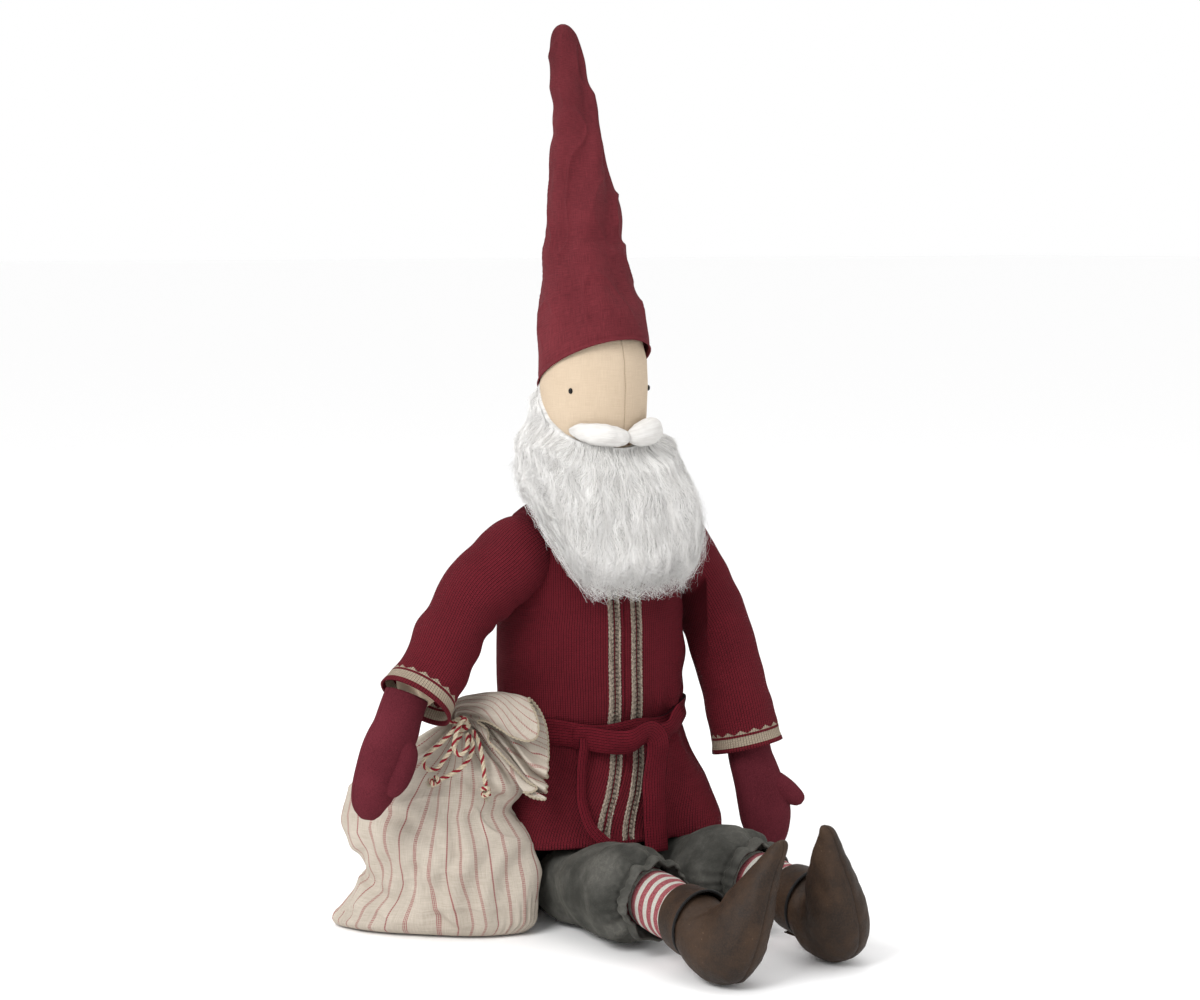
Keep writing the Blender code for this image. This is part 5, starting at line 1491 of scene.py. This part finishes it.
def make_sack():
    rows = spline(SACK, 12)
    turn = turns(300)
    height, outer_end, doll_end, depth, x, y = (rows[:, k][:, None] for k in range(6))
    cos, sin = squared(turn, 2.0 + 0.7 * smooth(height, 0.150, 0.090) + 1.1 * smooth(height, 0.060, 0.010))
    length = np.where(cos > 0, doll_end, outer_end) * cos
    # the flat sack's ends stay thin, so its sides draw in towards the end seams
    thin = 1 - 0.35 * np.abs(cos) ** 4 * smooth(height, 0.16, 0.12)
    centre = np.stack(np.broadcast_arrays(x, y, height, cos)[:3], axis=2)
    grid = centre + LONG * length[..., None] + SHORT * (depth * thin * sin)[..., None]
    out = outward(grid)
    free = smooth(height, 0.003, 0.020)
    full = free * smooth(height, 0.175, 0.140)
    # pleats gather the cloth into the neck
    fan = smooth(height, 0.128, 0.192)
    around_neck = np.stack(np.broadcast_arrays(np.cos(turn), np.sin(turn), height * 14), axis=-1)
    wander = 0.55 * cloud(around_neck, 1.0, 3.0)
    push = 0.0046 * fan * (1 - 0.55 * smooth(height, 0.188, 0.200)) * np.sin(PLEATS * turn + 3.2 * wander)
    # heavy folds that start at the pinches, and soft upright ones between them
    front = smooth(-sin, -0.2, 0.5)
    for fold in FOLDS:
        push += front * full * crease(length, height, *fold)
    upright = np.sin(length * TAU / 0.031 + 2.4 * np.sin(height * 34 + 0.6))
    push += 0.0019 * full * smooth(height, 0.100, 0.070) * upright
    push += 0.0042 * full * cloud(grid, (0.060, 0.060, 0.075), 4.0)
    push += 0.0020 * full * (ridges(grid, (0.085, 0.085, 0.055), 12.0) ** 3 - 0.2)
    push += 0.0007 * free * cloud(grid, (0.022, 0.022, 0.030), 2.0)
    # puckered corners at the foot of both end seams
    ends = np.abs(cos) ** 6 * smooth(height, 0.045, 0.004)
    push += 0.0012 * ends * np.sin(turn * 48) * smooth(height, 0.0, 0.006)
    push += 0.0040 * np.abs(cos) ** 10 * bell(height, 0.008, 0.010)
    push -= 0.0010 * (bell(turn, 0, 0.020) + bell(turn, TAU, 0.020) + bell(turn, math.pi, 0.020)) * full
    grid = grid + out * push[..., None]
    # the cloth slips sideways in slow waves, and its woven stripes with it
    slip = 0.0046 * cloud(grid, (0.090, 0.090, 0.060), 8.0) * full
    around = unit(np.roll(grid, -1, axis=1) - np.roll(grid, 1, axis=1))
    grid = grid + around * slip[..., None]
    grid = clear_of_coat(grid, 0.0030)
    grid[..., 2] = np.maximum(grid[..., 2], 0.0016)
    across = lengths(np.vstack((grid[SACK_BELLY], grid[SACK_BELLY][:1])))
    across *= SACK_AROUND / across[-1]
    uv = uv_grid(across[None, :], height)
    filling = centre + (grid - centre) * 0.80
    filling[..., 2] = np.maximum(filling[..., 2], 0.0090)
    skin("sack_loose_filling", filling[SACK_FILLED, ::4], "filling", "bag", "stuffing", caps=True,
         replaces=("sack_filling",))

    mouth, mouth_uv = mouth_grid(turn, float(rows[-1, 0]), across)
    grid = np.concatenate((grid, mouth[1:]), axis=0)
    uv = np.concatenate((uv, mouth_uv[1:]), axis=0)
    skin("sack_striped_linen", grid, "sack", "bag", "sack_linen", uv=uv, thick=0.0011,
         replaces=("sack_cloth",))

    # the serged edge of the mouth
    rim = even(np.vstack((grid[-1], grid[-1][:1])), 700)
    wave = 0.00045 * np.sin(np.arange(700) * TAU / 6)
    edge = tube(rim + np.stack((wave, 0 * wave, wave), axis=1), 0.0010, 0.0010, (0.31, 0.52, 0.79), 8)
    skin("sack_serged_edge", edge, "sack_hem", "bag", "sack_linen")


def mouth_grid(turn, top, across):
    """The gathered mouth beyond the tie: it flops over towards the doll and ends in sharp pleats."""
    rows = spline(MOUTH, 9)
    path = rows[:, :3]
    share = np.linspace(0, 1, len(rows))
    forward = unit(np.gradient(path, axis=0))
    flat = unit(SHORT - forward * (forward @ SHORT)[:, None])
    tall = np.cross(flat, forward)
    # the columns go on from the sack's own, whose first one lies on the doll's side and ends lowest
    lead = LONG - forward[0] * (forward[0] @ LONG)
    angle = turn + np.arctan2(lead @ flat[0], lead @ tall[0])
    drop = smooth(share, 0.15, 0.75)[:, None]
    tall = unit(tall * (1 - drop) + np.array((0.0, 0.0, -1.0)) * drop)
    # the near side is folded back, so that the throat shows between a smooth panel and the pleats
    below = (angle - 1.5 * math.pi + math.pi) % TAU - math.pi
    cut = 0.66 * bell(below, 0.42, 0.46) + 0.16 * bell(below, -1.57, 0.7) + 0.08 * bell(below, 1.6, 0.5)
    pleated = smooth(below, 0.40, 0.75) * smooth(below, 3.1, 2.4)
    fold = np.abs(((below * 2.3 + 0.25) % 1) - 0.5) * 4 - 1
    cut += 0.10 * pleated * fold
    reached = share[:, None] * (1 - cut)
    frames = np.hstack((path, flat, tall, rows[:, 3:5]))
    frames = np.stack([np.interp(reached, share, column) for column in frames.T], axis=2)
    open_up = smooth(reached, 0.10, 0.85)
    push = 0.0024 * np.sin(PLEATS * turn) * (1 - open_up)
    push = push + 0.0135 * fold * pleated * open_up
    push = push - 0.0040 * bell(below, 0.30, 0.24) * smooth(reached, 0.06, 0.30)
    push = push + 0.0030 * bell(below, -0.55, 0.55) * open_up
    push = push + 0.0016 * open_up * cloud(frames[..., :3] + turn[..., None] * 0.01, 0.020, 2.0)
    x = (frames[..., 9] + push * 0.3) * np.cos(angle)
    y = (frames[..., 10] + push) * np.sin(angle)
    grid = frames[..., :3] + frames[..., 6:9] * x[..., None] + frames[..., 3:6] * y[..., None]
    # past the tie the cloth is twisted, so that the stripes run askew over it
    askew = across[None, :] - 0.050 * smooth(share, 0.15, 1.0)[:, None]
    return grid, uv_grid(askew, top + share[:, None] * MOUTH_LENGTH)


make_sack()


# ---------------------------------------------------------------- carried-over CAD nodes

# the inner solids stay as modelled, and take a finished material
for node, look in (("torso_cloth", "calico"), ("torso_filling", "filling"), ("head_filling", "filling"),
                   ("pellet_bag", "pellets")):
    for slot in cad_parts[node].material_slots:
        slot.material = LOOKS[look]
